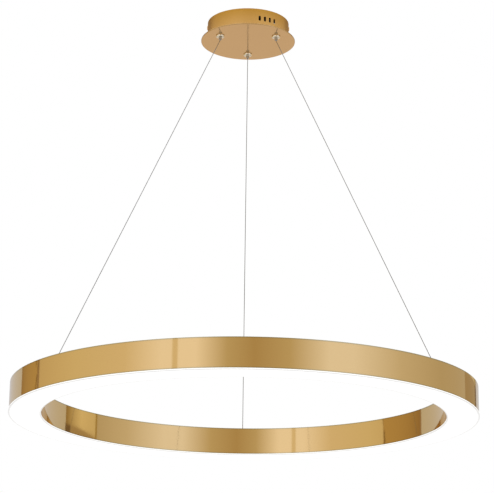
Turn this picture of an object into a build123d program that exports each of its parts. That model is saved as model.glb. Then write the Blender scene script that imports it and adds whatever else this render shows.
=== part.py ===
from build123d import *
import math
import os

os.makedirs("parts", exist_ok=True)

# LED ring chandelier, hung from a round ceiling canopy by three steel wires.
# Millimetres. The origin is the middle of the ceiling face and +Z is up, so the
# whole object lies below z = 0. The photograph's camera looks along +Y.

# ---------------------------------------------------------------- driving dimensions

# Canopy: a drum against the ceiling with a wider flat plate under it
drum_radius = 73.5
drum_wall = 1.0
canopy_drop = 35.0
plate_overhang = 11.5
plate_thickness = 2.0
plate_edge_round = 0.6
flange_width = 6.0
flange_thickness = 1.0

# Vents in the drum's wall: one group on each side
vent_count = 4
vent_width = 4.4
vent_height = 9.6
vent_drop = 17.8
vent_pitch_angle = 7.8
vent_group_angles = (297.5, 117.5)

# Ceiling bracket: a flat bar with its ends turned down inside the drum
bar_width = 16.0
bar_thickness = 1.5
tab_drop = 14.0
bend_radius = 2.5
ceiling_slot_spacing = 70.0
ceiling_slot_length = 20.0
ceiling_slot_width = 5.2
cable_hole_radius = 5.0
side_screw_drop = 8.0
side_screw_radius = 2.0
side_screw_head_radius = 3.75
side_screw_head = 1.0
side_screw_length = 9.0
weld_nut_radius = 3.6
weld_nut_length = 3.0

# Ring: two polished bands that form a channel
ring_radius = 400.0
channel_width = 53.5
band_height = 48.5
band_thickness = 1.2
band_edge_round = 0.25
ring_drop = 728.0
seam_gap = 0.3
ledge_width = 1.5
ledge_thickness = 1.0
ledge_height = 8.0

# Plate that closes the channel's top, on tabs welded to the bands
top_recess = 4.0
top_thickness = 1.5
tab_count = 6
ring_tab_length = 10.0
ring_tab_width = 14.0
ring_tab_thickness = 1.5
ring_tab_leg = 12.0

# Diffuser: a white tray snapped into the channel's underside
diffuser_thickness = 2.3
diffuser_overhang = 1.0
diffuser_edge_round = 0.9
lip_thickness = 1.3
hook_height = 1.9
hook_nose_share = 0.4

# Light source: board segments under the top plate
board_segments = 6
board_width = 18.0
board_thickness = 1.6
board_inset = 22.0
segment_gap = 0.6
led_count = 120
led_length = 3.5
led_width = 2.8
led_height = 0.8

# Strips that join each band's two ends at its seam
splice_length = 30.0
splice_thickness = 1.0
splice_margin = 1.0

# Suspension: three wires from the grippers out to the ring's anchors
wire_angles = (90.0, 210.0, 330.0)
wire_carries_current = (False, True, True)
wire_diameter = 1.2
anchor_inset = 39.0

# Gripper: a hollow threaded barrel with a dome foot and a sprung plunger
barrel_radius = 5.0
barrel_top_rise = 14.4
dome_radius = 7.75
dome_height = 3.4
dome_foot_radius = 3.9
dome_bulge = 1.1
dome_bore_depth = 2.5
bush_wall = 0.8
bush_flange_radius = 6.9
bush_flange = 0.6
washer_radius = 7.5
washer_thickness = 1.0
gripper_nut_across = 14.0
gripper_nut_thickness = 3.5
stem_radius = 2.7
stem_reach = 8.0
stem_bore_radius = 0.9
stem_tip_round = 0.9
collar_radius = 3.1
collar_height = 1.0
cone_top_radius = 4.0
cap_thickness = 2.0
cap_rim = 0.8
ball_radius = 1.1
ball_count = 3
ball_rise = 1.3
ball_gap = 0.15
plunger_travel = 2.5
spring_wire_radius = 0.25
spring_radius = 2.2
spring_turns = 6
spring_slack = 1.4

# Tails of the wires inside the canopy
tail_rise = 24.0
tail_run = 16.0
tail_bend = 5.0
sleeve_radius = 1.9
sleeve_length = 10.0
lead_radius = 0.9
lead_strip = 4.0
lead_entry = 6.0
lead_lap = 0.5

# Wire anchor on the ring: a hollow stud that holds the ball on the wire's end
stud_radius = 4.0
stud_length = 9.5
stud_bore_radius = 2.6
anchor_flange_radius = 6.5
anchor_flange = 1.0
anchor_cup_radius = 4.5
anchor_cup_rise = 5.5
anchor_cup_round = 0.5
mouth_depth = 2.0
mouth_radius = 3.5
throat_radius = 1.1
throat_length = 1.0
anchor_washer = 0.8
anchor_washer_radius = 7.0
anchor_nut_across = 12.0
anchor_nut_thickness = 4.0
tag_thickness = 0.5
wire_ball_radius = 2.3
wire_stem_radius = 0.9
tag_tongue = 8.0
tag_tongue_width = 3.0
tag_hold = 1.0
ring_lead_drop = 6.0
ring_lead_run = 6.0
solder_inset = 2.5
board_pad_inset = 3.0

# Driver case, standing on a foam pad on the canopy plate
driver_length = 96.0
driver_width = 40.0
driver_height = 18.0
driver_wall = 1.6
driver_corner = 3.0
driver_edge_round = 0.5
driver_y = 16.0
pad_thickness = 1.0
pad_margin = 6.0
port_spread = 6.0
post_radius = 2.0
post_inset_x = 9.0
post_inset_y = 7.0
board_rise = 3.0
driver_board_thickness = 1.6
driver_board_end_gap = 2.0
driver_board_side_gap = 1.0
lid_lip = 1.5
headroom = 1.0
core_x = 2.0
core_length = 22.0
core_width = 20.0
core_height_share = 0.75
winding_length = 14.0
winding_width = 24.0
winding_corner = 3.0
capacitor_xs = (-21.0, 24.0)
capacitor_radius = 5.0
capacitor_round = 0.8

# Terminal block between the two near grippers
block_y = -44.0
block_length = 30.0
block_width = 17.0
block_height = 12.0
block_corner = 1.0
pole_pitch = 10.0
chimney_radius = 2.8
chimney_height = 2.5
clamp_radius = 2.6
clamp_bore_radius = 1.6
clamp_screw_radius = 1.5
clamp_screw_sink = 0.75
slot_share = 0.4

# Small fasteners
m3_radius = 1.5
m3_nut_across = 5.5
m3_nut_thickness = 2.4
m3_head_radius = 2.75
m3_head = 1.7
m4_radius = 2.0
m4_nut_across = 7.0
m4_nut_thickness = 3.2
earth_stud_x = 30.0
earth_ring_margin = 0.5
earth_tag_reach = 9.0
screw_spare = 1.5

# Clearances
fit_gap = 0.2
wall_gap = 0.3
thread_gap = 0.05
hole_gap = 0.1
seat_gap = 0.05
flange_clearance = 1.0

# ------------------------------------------------------------------ derived places

drum_inner = drum_radius - drum_wall
plate_radius = drum_radius + plate_overhang
plate_under = -canopy_drop
plate_top = plate_under + plate_thickness
flange_inner = drum_inner - flange_width
gripper_radius = flange_inner - flange_clearance - washer_radius
stud_circle = drum_inner - flange_width / 2
stud_angles = (30.0, 150.0, 270.0)

inner_radius = ring_radius - channel_width
outer_wall_inside = ring_radius - band_thickness
inner_wall_inside = inner_radius + band_thickness
ring_low = -ring_drop
ring_high = ring_low + band_height
top_face = ring_high - top_recess
top_under = top_face - top_thickness
anchor_radius = ring_radius - anchor_inset
board_radius = ring_radius - board_inset
wire_radius = wire_diameter / 2

dome_face = plate_under - bush_flange
dome_low = dome_face - dome_height
stem_tip = plate_under - stem_reach
wire_exit = stem_tip - wire_radius
wire_foot = top_face + anchor_cup_rise - mouth_depth
washer_top = plate_top + washer_thickness
barrel_top = plate_under + barrel_top_rise


def at_angle(radius, degrees):
    """The (x, y) of a point on a circle about the object's upright axis."""
    turn_by = math.radians(degrees)
    return radius * math.cos(turn_by), radius * math.sin(turn_by)


def turn(outline, centre=(0.0, 0.0), mode=Mode.ADD):
    """Turns a closed outline of (radius, height) points about an upright line."""
    x, y = centre
    with BuildSketch(Plane(origin=(x, y, 0), x_dir=(1, 0, 0), z_dir=(0, -1, 0))) as half:
        with BuildLine():
            Polyline(*outline, close=True)
        make_face()
    revolve(half.sketch, axis=Axis((x, y, 0), (0, 0, 1)), mode=mode)


def rectangle_outline(inside, outside, low, high):
    """The outline of a plain ring, for turn."""
    return [(inside, low), (outside, low), (outside, high), (inside, high)]


def arc_radii(points):
    """The largest tangent arc that the two runs beside each corner allow."""
    radii = []
    for before, corner, after in zip(points, points[1:], points[2:]):
        run_in = Vector(*corner) - Vector(*before)
        run_out = Vector(*after) - Vector(*corner)
        half_turn = math.radians(run_in.get_angle(run_out) / 2)
        radii.append(0.45 * min(run_in.length, run_out.length) / math.tan(half_turn))
    return radii


def tube(points, radius, radii=None):
    """A round wire or lead along straight runs joined by tangent arcs."""
    with BuildLine() as path:
        FilletPolyline(*points, radius=radii or arc_radii(points))
    with BuildSketch(path.line ^ 0) as section:
        Circle(radius)
    sweep(section.sketch, path=path.line)


def hex_nut(centre, low, thickness, across, bore):
    """A plain hexagon nut that stands at the given height."""
    with BuildSketch(Plane(origin=(centre[0], centre[1], low))) as profile:
        RegularPolygon(across / 2, 6, major_radius=False)
        Circle(bore, mode=Mode.SUBTRACT)
    extrude(profile.sketch, amount=thickness)


grippers = [at_angle(gripper_radius, angle) for angle in wire_angles]
anchors = [at_angle(anchor_radius, angle) for angle in wire_angles]
powered_anchors = [
    (angle, anchor)
    for angle, anchor, powered in zip(wire_angles, anchors, wire_carries_current)
    if powered
]

# ------------------------------------------------------------------ ceiling bracket

tab_outer = math.sqrt(drum_inner**2 - (bar_width / 2) ** 2) - fit_gap
tab_inner = tab_outer - bar_thickness

with BuildPart() as ceiling_bracket:
    with BuildSketch(Plane.XZ.offset(-bar_width / 2)) as bar_profile:
        with Locations((0, -tab_drop / 2)):
            Rectangle(2 * tab_outer, tab_drop)
        fillet(bar_profile.vertices().group_by(Axis.Y)[-1], bend_radius)
        with Locations((0, -bar_thickness - tab_drop / 2)):
            Rectangle(2 * tab_inner, tab_drop, mode=Mode.SUBTRACT)
    extrude(amount=bar_width)
    with BuildSketch(Plane.XY):
        with Locations((-ceiling_slot_spacing / 2, 0), (ceiling_slot_spacing / 2, 0)):
            SlotOverall(ceiling_slot_length, ceiling_slot_width)
        Circle(cable_hole_radius)
    extrude(amount=-bar_thickness, mode=Mode.SUBTRACT)
    for side in (-1, 1):
        weld_plane = Plane(origin=(side * tab_inner, 0, -side_screw_drop), z_dir=(-side, 0, 0))
        with BuildSketch(weld_plane):
            Circle(weld_nut_radius)
        extrude(amount=weld_nut_length)
        with BuildSketch(weld_plane.offset(weld_nut_length)):
            Circle(side_screw_radius + thread_gap)
        extrude(amount=-(weld_nut_length + bar_thickness), mode=Mode.SUBTRACT)
ceiling_bracket.part.label = "ceiling_bracket"
export_step(ceiling_bracket.part, "parts/ceiling_bracket.step")

# --------------------------------------------------------------------- canopy drum

with BuildPart() as canopy_drum:
    turn(
        [
            (drum_inner, 0),
            (drum_radius, 0),
            (drum_radius, plate_top),
            (flange_inner, plate_top),
            (flange_inner, plate_top + flange_thickness),
            (drum_inner, plate_top + flange_thickness),
        ]
    )
    for group_angle in vent_group_angles:
        for number in range(vent_count):
            angle = group_angle + (number - (vent_count - 1) / 2) * vent_pitch_angle
            x, y = at_angle(drum_inner - drum_wall, angle)
            outward = (math.cos(math.radians(angle)), math.sin(math.radians(angle)), 0)
            vent_plane = Plane(origin=(x, y, -vent_drop), x_dir=(0, 0, 1), z_dir=outward)
            with BuildSketch(vent_plane):
                SlotOverall(vent_height, vent_width)
            extrude(amount=3 * drum_wall, mode=Mode.SUBTRACT)
    with BuildSketch(Plane(origin=(0, 0, -side_screw_drop), z_dir=(1, 0, 0))):
        Circle(side_screw_radius + fit_gap)
    extrude(amount=2 * drum_radius, both=True, mode=Mode.SUBTRACT)
    with BuildSketch(Plane.XY.offset(plate_top)):
        with Locations(*[at_angle(stud_circle, angle) for angle in stud_angles]):
            Circle(m3_radius + fit_gap)
    extrude(amount=flange_thickness, mode=Mode.SUBTRACT)
canopy_drum.part.label = "canopy_drum"
export_step(canopy_drum.part, "parts/canopy_drum.step")

with BuildPart() as side_screws:
    for side in (-1, 1):
        head_plane = Plane(origin=(side * drum_radius, 0, -side_screw_drop), z_dir=(side, 0, 0))
        with BuildSketch(head_plane):
            Circle(side_screw_head_radius)
        extrude(amount=side_screw_head)
        with BuildSketch(head_plane):
            Circle(side_screw_radius)
        extrude(amount=-side_screw_length)
        with BuildSketch(head_plane.offset(side_screw_head)):
            Rectangle(side_screw_radius * 2, side_screw_radius * slot_share)
            Rectangle(side_screw_radius * slot_share, side_screw_radius * 2)
        extrude(amount=-side_screw_head * 0.6, mode=Mode.SUBTRACT)
side_screws.part.label = "side_screws"
export_step(side_screws.part, "parts/side_screws.step")

# -------------------------------------------------------------------- canopy plate

block_stud = (pole_pitch / 2, block_y)
earth_stud = (earth_stud_x, block_y)
block_top = plate_top + block_height
bush_outer = barrel_radius + hole_gap + bush_wall

with BuildPart() as canopy_plate:
    with BuildSketch(Plane.XY.offset(plate_under)):
        Circle(plate_radius)
    extrude(amount=plate_thickness)
    fillet(canopy_plate.edges(), plate_edge_round)
    with BuildSketch(Plane.XY.offset(plate_under)):
        with Locations(*grippers):
            Circle(bush_outer + hole_gap)
    extrude(amount=plate_thickness, mode=Mode.SUBTRACT)
canopy_plate.part.label = "canopy_plate"
export_step(canopy_plate.part, "parts/canopy_plate.step")

# Studs welded to the plate's top
with BuildPart() as plate_studs:
    with BuildSketch(Plane.XY.offset(plate_top)):
        with Locations(*[at_angle(stud_circle, angle) for angle in stud_angles]):
            Circle(m3_radius)
    extrude(amount=flange_thickness + m3_nut_thickness + m3_radius)
    with BuildSketch(Plane.XY.offset(plate_top)):
        with Locations(block_stud):
            Circle(m3_radius)
    extrude(amount=block_height + m3_nut_thickness + m3_radius)
    with BuildSketch(Plane.XY.offset(plate_top)):
        with Locations(earth_stud):
            Circle(m4_radius)
    extrude(amount=tag_thickness + m4_nut_thickness + m4_radius)
plate_studs.part.label = "plate_studs"
export_step(plate_studs.part, "parts/plate_studs.step")

with BuildPart() as stud_nuts:
    for angle in stud_angles:
        low = plate_top + flange_thickness
        place = at_angle(stud_circle, angle)
        hex_nut(place, low, m3_nut_thickness, m3_nut_across, m3_radius + thread_gap)
    hex_nut(block_stud, block_top, m3_nut_thickness, m3_nut_across, m3_radius + thread_gap)
stud_nuts.part.label = "stud_nuts"
export_step(stud_nuts.part, "parts/stud_nuts.step")

# ------------------------------------------------------------------ terminal block

pole_xs = [-pole_pitch, 0.0, pole_pitch]
clamp_height = plate_top + block_height / 2
screw_row = block_width / 2 - chimney_radius - fit_gap
screw_places = [(x, block_y + row) for x in pole_xs for row in (-screw_row, screw_row)]

with BuildPart() as terminal_block:
    with BuildSketch(Plane.XY.offset(plate_top)):
        with Locations((0, block_y)):
            RectangleRounded(block_length, block_width, block_corner)
    extrude(amount=block_height)
    with BuildSketch(Plane.XY.offset(block_top)):
        with Locations(*screw_places):
            Circle(chimney_radius)
    extrude(amount=chimney_height)
    with BuildSketch(Plane(origin=(0, block_y, clamp_height), x_dir=(1, 0, 0), z_dir=(0, -1, 0))):
        with Locations(*[(x, 0) for x in pole_xs]):
            Circle(clamp_radius + seat_gap)
    extrude(amount=block_width, both=True, mode=Mode.SUBTRACT)
    with BuildSketch(Plane.XY.offset(clamp_height)):
        with Locations(*screw_places):
            Circle(clamp_screw_radius + hole_gap)
    extrude(amount=block_height + chimney_height, mode=Mode.SUBTRACT)
    with BuildSketch(Plane.XY.offset(plate_top)):
        with Locations(block_stud):
            Circle(m3_radius + hole_gap)
    extrude(amount=block_height, mode=Mode.SUBTRACT)
terminal_block.part.label = "terminal_block"
export_step(terminal_block.part, "parts/terminal_block.step")

clamp_length = block_width - 2 * fit_gap
clamp_back = (0, block_y + clamp_length / 2, clamp_height)
with BuildPart() as terminal_clamps:
    with BuildSketch(Plane(origin=clamp_back, x_dir=(1, 0, 0), z_dir=(0, -1, 0))):
        with Locations(*[(x, 0) for x in pole_xs]):
            Circle(clamp_radius)
            Circle(clamp_bore_radius, mode=Mode.SUBTRACT)
    extrude(amount=clamp_length)
terminal_clamps.part.label = "terminal_clamps"
export_step(terminal_clamps.part, "parts/terminal_clamps.step")

with BuildPart() as terminal_screws:
    with BuildSketch(Plane.XY.offset(clamp_height + clamp_radius + seat_gap)):
        with Locations(*screw_places):
            Circle(clamp_screw_radius)
    extrude(amount=block_height / 2 - clamp_radius + chimney_height - clamp_screw_sink)
    with BuildSketch(Plane.XY.offset(block_top + chimney_height - clamp_screw_sink)):
        with Locations(*screw_places):
            Rectangle(4 * clamp_screw_radius, slot_share * clamp_screw_radius)
    extrude(amount=clamp_screw_radius, mode=Mode.SUBTRACT, both=True)
terminal_screws.part.label = "terminal_screws"
export_step(terminal_screws.part, "parts/terminal_screws.step")

# ---------------------------------------------------------------- earth connection

earth_ring_radius = m4_nut_across / 2 + earth_ring_margin
with BuildPart() as earth_tag:
    with BuildSketch(Plane.XY.offset(plate_top)):
        with Locations(earth_stud):
            Circle(earth_ring_radius)
        with Locations((earth_stud[0], earth_stud[1] + earth_tag_reach / 2)):
            Rectangle(2 * lead_radius, earth_tag_reach)
        with Locations(earth_stud):
            Circle(m4_radius + hole_gap, mode=Mode.SUBTRACT)
    extrude(amount=tag_thickness)
earth_tag.part.label = "earth_tag"
export_step(earth_tag.part, "parts/earth_tag.step")

with BuildPart() as earth_nut:
    low = plate_top + tag_thickness
    hex_nut(earth_stud, low, m4_nut_thickness, m4_nut_across, m4_radius + thread_gap)
earth_nut.part.label = "earth_nut"
export_step(earth_nut.part, "parts/earth_nut.step")

# -------------------------------------------------------------------------- driver

driver_low = plate_top + pad_thickness
driver_split = driver_low + driver_height
driver_end = driver_length / 2
port_height = driver_low + driver_height / 2
port_ys = (driver_y - port_spread, driver_y + port_spread)

with BuildPart() as driver_pad:
    with BuildSketch(Plane.XY.offset(plate_top)):
        with Locations((0, driver_y)):
            RectangleRounded(
                driver_length - 2 * pad_margin, driver_width - 2 * pad_margin, driver_corner
            )
    extrude(amount=pad_thickness)
driver_pad.part.label = "driver_pad"
export_step(driver_pad.part, "parts/driver_pad.step")

post_x = driver_length / 2 - post_inset_x
post_y = driver_width / 2 - post_inset_y
with BuildPart() as driver_base:
    with BuildSketch(Plane.XY.offset(driver_low)):
        with Locations((0, driver_y)):
            RectangleRounded(driver_length, driver_width, driver_corner)
    extrude(amount=driver_height)
    with BuildSketch(Plane.XY.offset(driver_low + driver_wall)):
        with Locations((0, driver_y)):
            RectangleRounded(
                driver_length - 2 * driver_wall,
                driver_width - 2 * driver_wall,
                driver_corner - driver_wall,
            )
    extrude(amount=driver_height, mode=Mode.SUBTRACT)
    with BuildSketch(Plane.XY.offset(driver_low + driver_wall)):
        with Locations((0, driver_y)):
            with GridLocations(2 * post_x, 2 * post_y, 2, 2):
                Circle(post_radius)
    extrude(amount=board_rise - driver_wall)
    with BuildSketch(Plane(origin=(0, 0, port_height), x_dir=(0, 1, 0), z_dir=(1, 0, 0))):
        with Locations(*[(y, 0) for y in port_ys]):
            Circle(lead_radius + fit_gap)
    extrude(amount=driver_length, both=True, mode=Mode.SUBTRACT)
driver_base.part.label = "driver_base"
export_step(driver_base.part, "parts/driver_base.step")

with BuildPart() as driver_lid:
    with BuildSketch(Plane.XY.offset(driver_split)):
        with Locations((0, driver_y)):
            RectangleRounded(driver_length, driver_width, driver_corner)
    extrude(amount=driver_wall)
    fillet(driver_lid.faces().sort_by(Axis.Z)[-1].edges(), driver_edge_round)
    lip_gap = 2 * (driver_wall + fit_gap)
    with BuildSketch(Plane.XY.offset(driver_split)):
        with Locations((0, driver_y)):
            RectangleRounded(driver_length - lip_gap, driver_width - lip_gap, driver_corner / 2)
            Rectangle(
                driver_length - lip_gap - 2 * driver_wall,
                driver_width - lip_gap - 2 * driver_wall,
                mode=Mode.SUBTRACT,
            )
    extrude(amount=-lid_lip)
driver_lid.part.label = "driver_lid"
export_step(driver_lid.part, "parts/driver_lid.step")

driver_board_low = driver_low + board_rise
driver_board_top = driver_board_low + driver_board_thickness
part_height = driver_split - lid_lip - driver_board_top - headroom
with BuildPart() as driver_board:
    with BuildSketch(Plane.XY.offset(driver_board_low)):
        with Locations((0, driver_y)):
            Rectangle(
                driver_length - 2 * (driver_wall + driver_board_end_gap),
                driver_width - 2 * (driver_wall + driver_board_side_gap),
            )
    extrude(amount=driver_board_thickness)
driver_board.part.label = "driver_board"
export_step(driver_board.part, "parts/driver_board.step")

with BuildPart() as driver_transformer:
    with BuildSketch(Plane.XY.offset(driver_board_top)):
        with Locations((core_x, driver_y)):
            Rectangle(core_length, core_width)
    extrude(amount=part_height * core_height_share)
    with BuildSketch(Plane.XY.offset(driver_board_top)):
        with Locations((core_x, driver_y)):
            RectangleRounded(winding_length, winding_width, winding_corner)
    extrude(amount=part_height)
driver_transformer.part.label = "driver_transformer"
export_step(driver_transformer.part, "parts/driver_transformer.step")

with BuildPart() as driver_capacitors:
    with BuildSketch(Plane.XY.offset(driver_board_top)):
        with Locations(*[(x, driver_y) for x in capacitor_xs]):
            Circle(capacitor_radius)
    extrude(amount=part_height)
    fillet(driver_capacitors.faces().group_by(Axis.Z)[-1].edges(), capacitor_round)
driver_capacitors.part.label = "driver_capacitors"
export_step(driver_capacitors.part, "parts/driver_capacitors.step")

# --------------------------------------------------------------- grippers and tails

bore_low = dome_low + dome_bore_depth
cap_low = barrel_top - cap_thickness
cone_low_radius = stem_radius + fit_gap
spring_solid = (spring_turns + 1) * 2 * spring_wire_radius
collar_top = cap_low - spring_solid - spring_slack - plunger_travel
spring_low = collar_top + fit_gap
spring_high = cap_low - fit_gap
ball_height = plate_under + ball_rise
ball_orbit = wire_radius + ball_radius + ball_gap

for number, (x, y) in enumerate(grippers, 1):
    with BuildPart() as gripper_body:
        with BuildSketch(Plane(origin=(x, y, 0), x_dir=(1, 0, 0), z_dir=(0, -1, 0))) as half:
            with BuildLine():
                rim = (dome_radius, dome_face)
                foot = (dome_foot_radius, dome_low)
                Polyline((0, dome_low), foot)
                SagittaArc(foot, rim, -dome_bulge)
                Polyline(rim, (barrel_radius, dome_face), (barrel_radius, barrel_top))
                Polyline((barrel_radius, barrel_top), (0, barrel_top), (0, dome_low))
            make_face()
        revolve(axis=Axis((x, y, 0), (0, 0, 1)))
        turn(
            [
                (0, dome_low),
                (cone_low_radius, dome_low),
                (cone_low_radius, bore_low),
                (cone_top_radius, cap_low),
                (cone_top_radius, barrel_top),
                (0, barrel_top),
            ],
            (x, y),
            Mode.SUBTRACT,
        )
    gripper_body.part.label = f"gripper_body_{number}"
    export_step(gripper_body.part, f"parts/gripper_body_{number}.step")

    with BuildPart() as gripper_plunger:
        turn(
            [
                (stem_bore_radius, stem_tip),
                (stem_radius - stem_tip_round, stem_tip),
                (stem_radius, stem_tip + stem_tip_round),
                (stem_radius, collar_top - collar_height),
                (collar_radius, collar_top - collar_height),
                (collar_radius, collar_top),
                (stem_bore_radius, collar_top),
            ],
            (x, y),
        )
        for step in range(ball_count):
            angle = 360.0 * step / ball_count
            outward = (math.cos(math.radians(angle)), math.sin(math.radians(angle)), 0)
            with BuildSketch(Plane(origin=(x, y, ball_height), z_dir=outward)):
                Circle(ball_radius + ball_gap)
            extrude(amount=2 * stem_radius, mode=Mode.SUBTRACT)
    gripper_plunger.part.label = f"gripper_plunger_{number}"
    export_step(gripper_plunger.part, f"parts/gripper_plunger_{number}.step")

    with BuildPart() as grip_balls:
        for step in range(ball_count):
            dx, dy = at_angle(ball_orbit, 360.0 * step / ball_count)
            with Locations((x + dx, y + dy, ball_height)):
                Sphere(ball_radius)
    grip_balls.part.label = f"grip_balls_{number}"
    export_step(grip_balls.part, f"parts/grip_balls_{number}.step")

    with BuildPart() as gripper_spring:
        coil_low = spring_low + spring_wire_radius
        coil_rise = spring_high - spring_low - 2 * spring_wire_radius
        with BuildLine() as coil:
            Helix(coil_rise / spring_turns, coil_rise, spring_radius, center=(x, y, coil_low))
        with BuildSketch(coil.line ^ 0) as coil_section:
            Circle(spring_wire_radius)
        sweep(coil_section.sketch, path=coil.line, is_frenet=True)
    gripper_spring.part.label = f"gripper_spring_{number}"
    export_step(gripper_spring.part, f"parts/gripper_spring_{number}.step")

with BuildPart() as gripper_caps:
    for place in grippers:
        turn(
            [
                (stem_bore_radius, cap_low),
                (cone_top_radius - seat_gap, cap_low),
                (cone_top_radius - seat_gap, barrel_top),
                (barrel_radius, barrel_top),
                (barrel_radius, barrel_top + cap_rim),
                (stem_bore_radius, barrel_top + cap_rim),
            ],
            place,
        )
gripper_caps.part.label = "gripper_caps"
export_step(gripper_caps.part, "parts/gripper_caps.step")

with BuildPart() as gripper_bushes:
    for place in grippers:
        bore = barrel_radius + hole_gap
        turn(
            [
                (bore, dome_face),
                (bush_flange_radius, dome_face),
                (bush_flange_radius, plate_under),
                (bush_outer, plate_under),
                (bush_outer, plate_top - fit_gap),
                (bore, plate_top - fit_gap),
            ],
            place,
        )
gripper_bushes.part.label = "gripper_bushes"
export_step(gripper_bushes.part, "parts/gripper_bushes.step")

with BuildPart() as gripper_washers:
    for place in grippers:
        turn(rectangle_outline(barrel_radius + hole_gap, washer_radius, plate_top, washer_top), place)
gripper_washers.part.label = "gripper_washers"
export_step(gripper_washers.part, "parts/gripper_washers.step")

with BuildPart() as gripper_nuts:
    for place in grippers:
        bore = barrel_radius + thread_gap
        hex_nut(place, washer_top, gripper_nut_thickness, gripper_nut_across, bore)
gripper_nuts.part.label = "gripper_nuts"
export_step(gripper_nuts.part, "parts/gripper_nuts.step")

# Each tail goes up through its gripper and bends over towards what it joins: the far
# one and the near left one inwards or along X, the near right one along +Y
tail_top = plate_under + tail_rise
tail_directions = ((1.0, 0.0), (1.0, 0.0), (0.0, 1.0))
tail_ends = []
for number, ((x, y), (dx, dy)) in enumerate(zip(grippers, tail_directions), 1):
    tail_end = (x + tail_run * dx, y + tail_run * dy, tail_top)
    tail_ends.append(tail_end)
    with BuildPart() as wire_tail:
        tube([(x, y, wire_exit), (x, y, tail_top), tail_end], wire_radius, [tail_bend])
    wire_tail.part.label = f"wire_tail_{number}"
    export_step(wire_tail.part, f"parts/wire_tail_{number}.step")

with BuildPart() as tail_sleeves:
    for (x, y, z), (dx, dy) in zip(tail_ends, tail_directions):
        start = (x - dx * sleeve_length / 2, y - dy * sleeve_length / 2, z)
        with BuildSketch(Plane(origin=start, z_dir=(dx, dy, 0))):
            Circle(sleeve_radius)
            Circle(lead_radius + seat_gap, mode=Mode.SUBTRACT)
        extrude(amount=sleeve_length)
tail_sleeves.part.label = "tail_sleeves"
export_step(tail_sleeves.part, "parts/tail_sleeves.step")

# ------------------------------------------------------------------ leads in canopy

block_face = block_y + block_width / 2
inside_clamp = block_face - lead_strip
port_inside = driver_end - lead_entry
driver_front = driver_y - driver_width / 2
earth_height = plate_top + tag_thickness + lead_radius
side_walls = [math.sqrt(drum_inner**2 - y**2) for y in port_ys]

live_route = [
    (pole_xs[0], inside_clamp, clamp_height),
    (pole_xs[0], block_face + 9.0, clamp_height),
    (-27.0, driver_front - 10.0, clamp_height + 1.0),
    (-driver_end + 2.0, driver_front - 5.0, port_height - 3.0),
    (9.8 - side_walls[0], driver_front + 2.0, port_height - 1.0),
    (8.8 - side_walls[0], port_ys[0], port_height),
    (-port_inside, port_ys[0], port_height),
]
neutral_route = [
    (pole_xs[1], inside_clamp, clamp_height),
    (pole_xs[1], block_face + 16.0, clamp_height + 1.0),
    (-22.0, driver_front - 5.0, clamp_height + 6.0),
    (-driver_end - 2.0, driver_front - 2.0, port_height + 4.0),
    (3.1 - side_walls[1], driver_front + 10.0, port_height + 3.0),
    (3.1 - side_walls[1], port_ys[1], port_height),
    (-port_inside, port_ys[1], port_height),
]
earth_route = [
    (pole_xs[2], inside_clamp, clamp_height),
    (pole_xs[2], block_face + 7.0, clamp_height),
    (19.0, block_face + 9.0, clamp_height - 1.0),
    (27.5, block_face + 6.0, clamp_height - 3.0),
    (earth_stud[0], earth_stud[1] + earth_tag_reach, earth_height),
    (earth_stud[0], earth_stud[1] + earth_tag_reach - lead_strip, earth_height),
]
left_end = tail_ends[1]
negative_route = [
    (left_end[0] + lead_lap, left_end[1], left_end[2]),
    (left_end[0] + 16.0, left_end[1], left_end[2]),
    (2.0, driver_front - 21.0, left_end[2] - 2.0),
    (28.0, driver_front - 12.0, left_end[2] - 7.0),
    (driver_end + 4.0, driver_front - 6.0, port_height + 4.0),
    (side_walls[0] - 6.8, driver_front + 4.0, port_height + 1.0),
    (side_walls[0] - 7.8, port_ys[0], port_height),
    (port_inside, port_ys[0], port_height),
]
right_end = tail_ends[2]
positive_route = [
    (right_end[0], right_end[1] + lead_lap, right_end[2]),
    (right_end[0], right_end[1] + 13.0, right_end[2]),
    (driver_end + 8.4, driver_front + 14.5, right_end[2] - 3.0),
    (side_walls[1] - 4.7, port_ys[1] - 6.0, port_height + 4.0),
    (side_walls[1] - 4.7, port_ys[1], port_height),
    (port_inside, port_ys[1], port_height),
]

for name, route in (
    ("live_lead", live_route),
    ("neutral_lead", neutral_route),
    ("earth_lead", earth_route),
    ("negative_lead", negative_route),
    ("positive_lead", positive_route),
):
    with BuildPart() as lead:
        tube(route, lead_radius)
    lead.part.label = name
    export_step(lead.part, f"parts/{name}.step")

# ---------------------------------------------------------------- suspension wires

for number, (start, end) in enumerate(zip(grippers, anchors), 1):
    upper = Vector(start[0], start[1], wire_exit)
    lower = Vector(end[0], end[1], wire_foot)
    along = (lower - upper).normalized()
    wire_length = (lower - upper).length - wire_radius - wire_stem_radius - seat_gap
    with BuildPart() as suspension_wire:
        with BuildSketch(Plane(origin=upper + along * wire_radius, z_dir=along)):
            Circle(wire_radius)
        extrude(amount=wire_length)
    suspension_wire.part.label = f"suspension_wire_{number}"
    export_step(suspension_wire.part, f"parts/suspension_wire_{number}.step")
    print("suspension wire", number, "length", round(wire_length, 1))

# ---------------------------------------------------------------------- ring bands


def arc_block(radii, heights, middle_angle, chord):
    """A block bent to the ring's curve, between two radii and two heights."""
    inside, outside = sorted(radii)
    low, high = sorted(heights)
    spread = math.degrees(chord / outside)
    start = math.radians(middle_angle - spread / 2)
    radial = Plane(
        origin=(0, 0, 0),
        x_dir=(math.cos(start), math.sin(start), 0),
        z_dir=(math.sin(start), -math.cos(start), 0),
    )
    with BuildSketch(radial) as end_face:
        with BuildLine():
            Polyline(*rectangle_outline(inside, outside, low, high), close=True)
        make_face()
    revolve(end_face.sketch, axis=Axis.Z, revolution_arc=spread)


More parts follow.
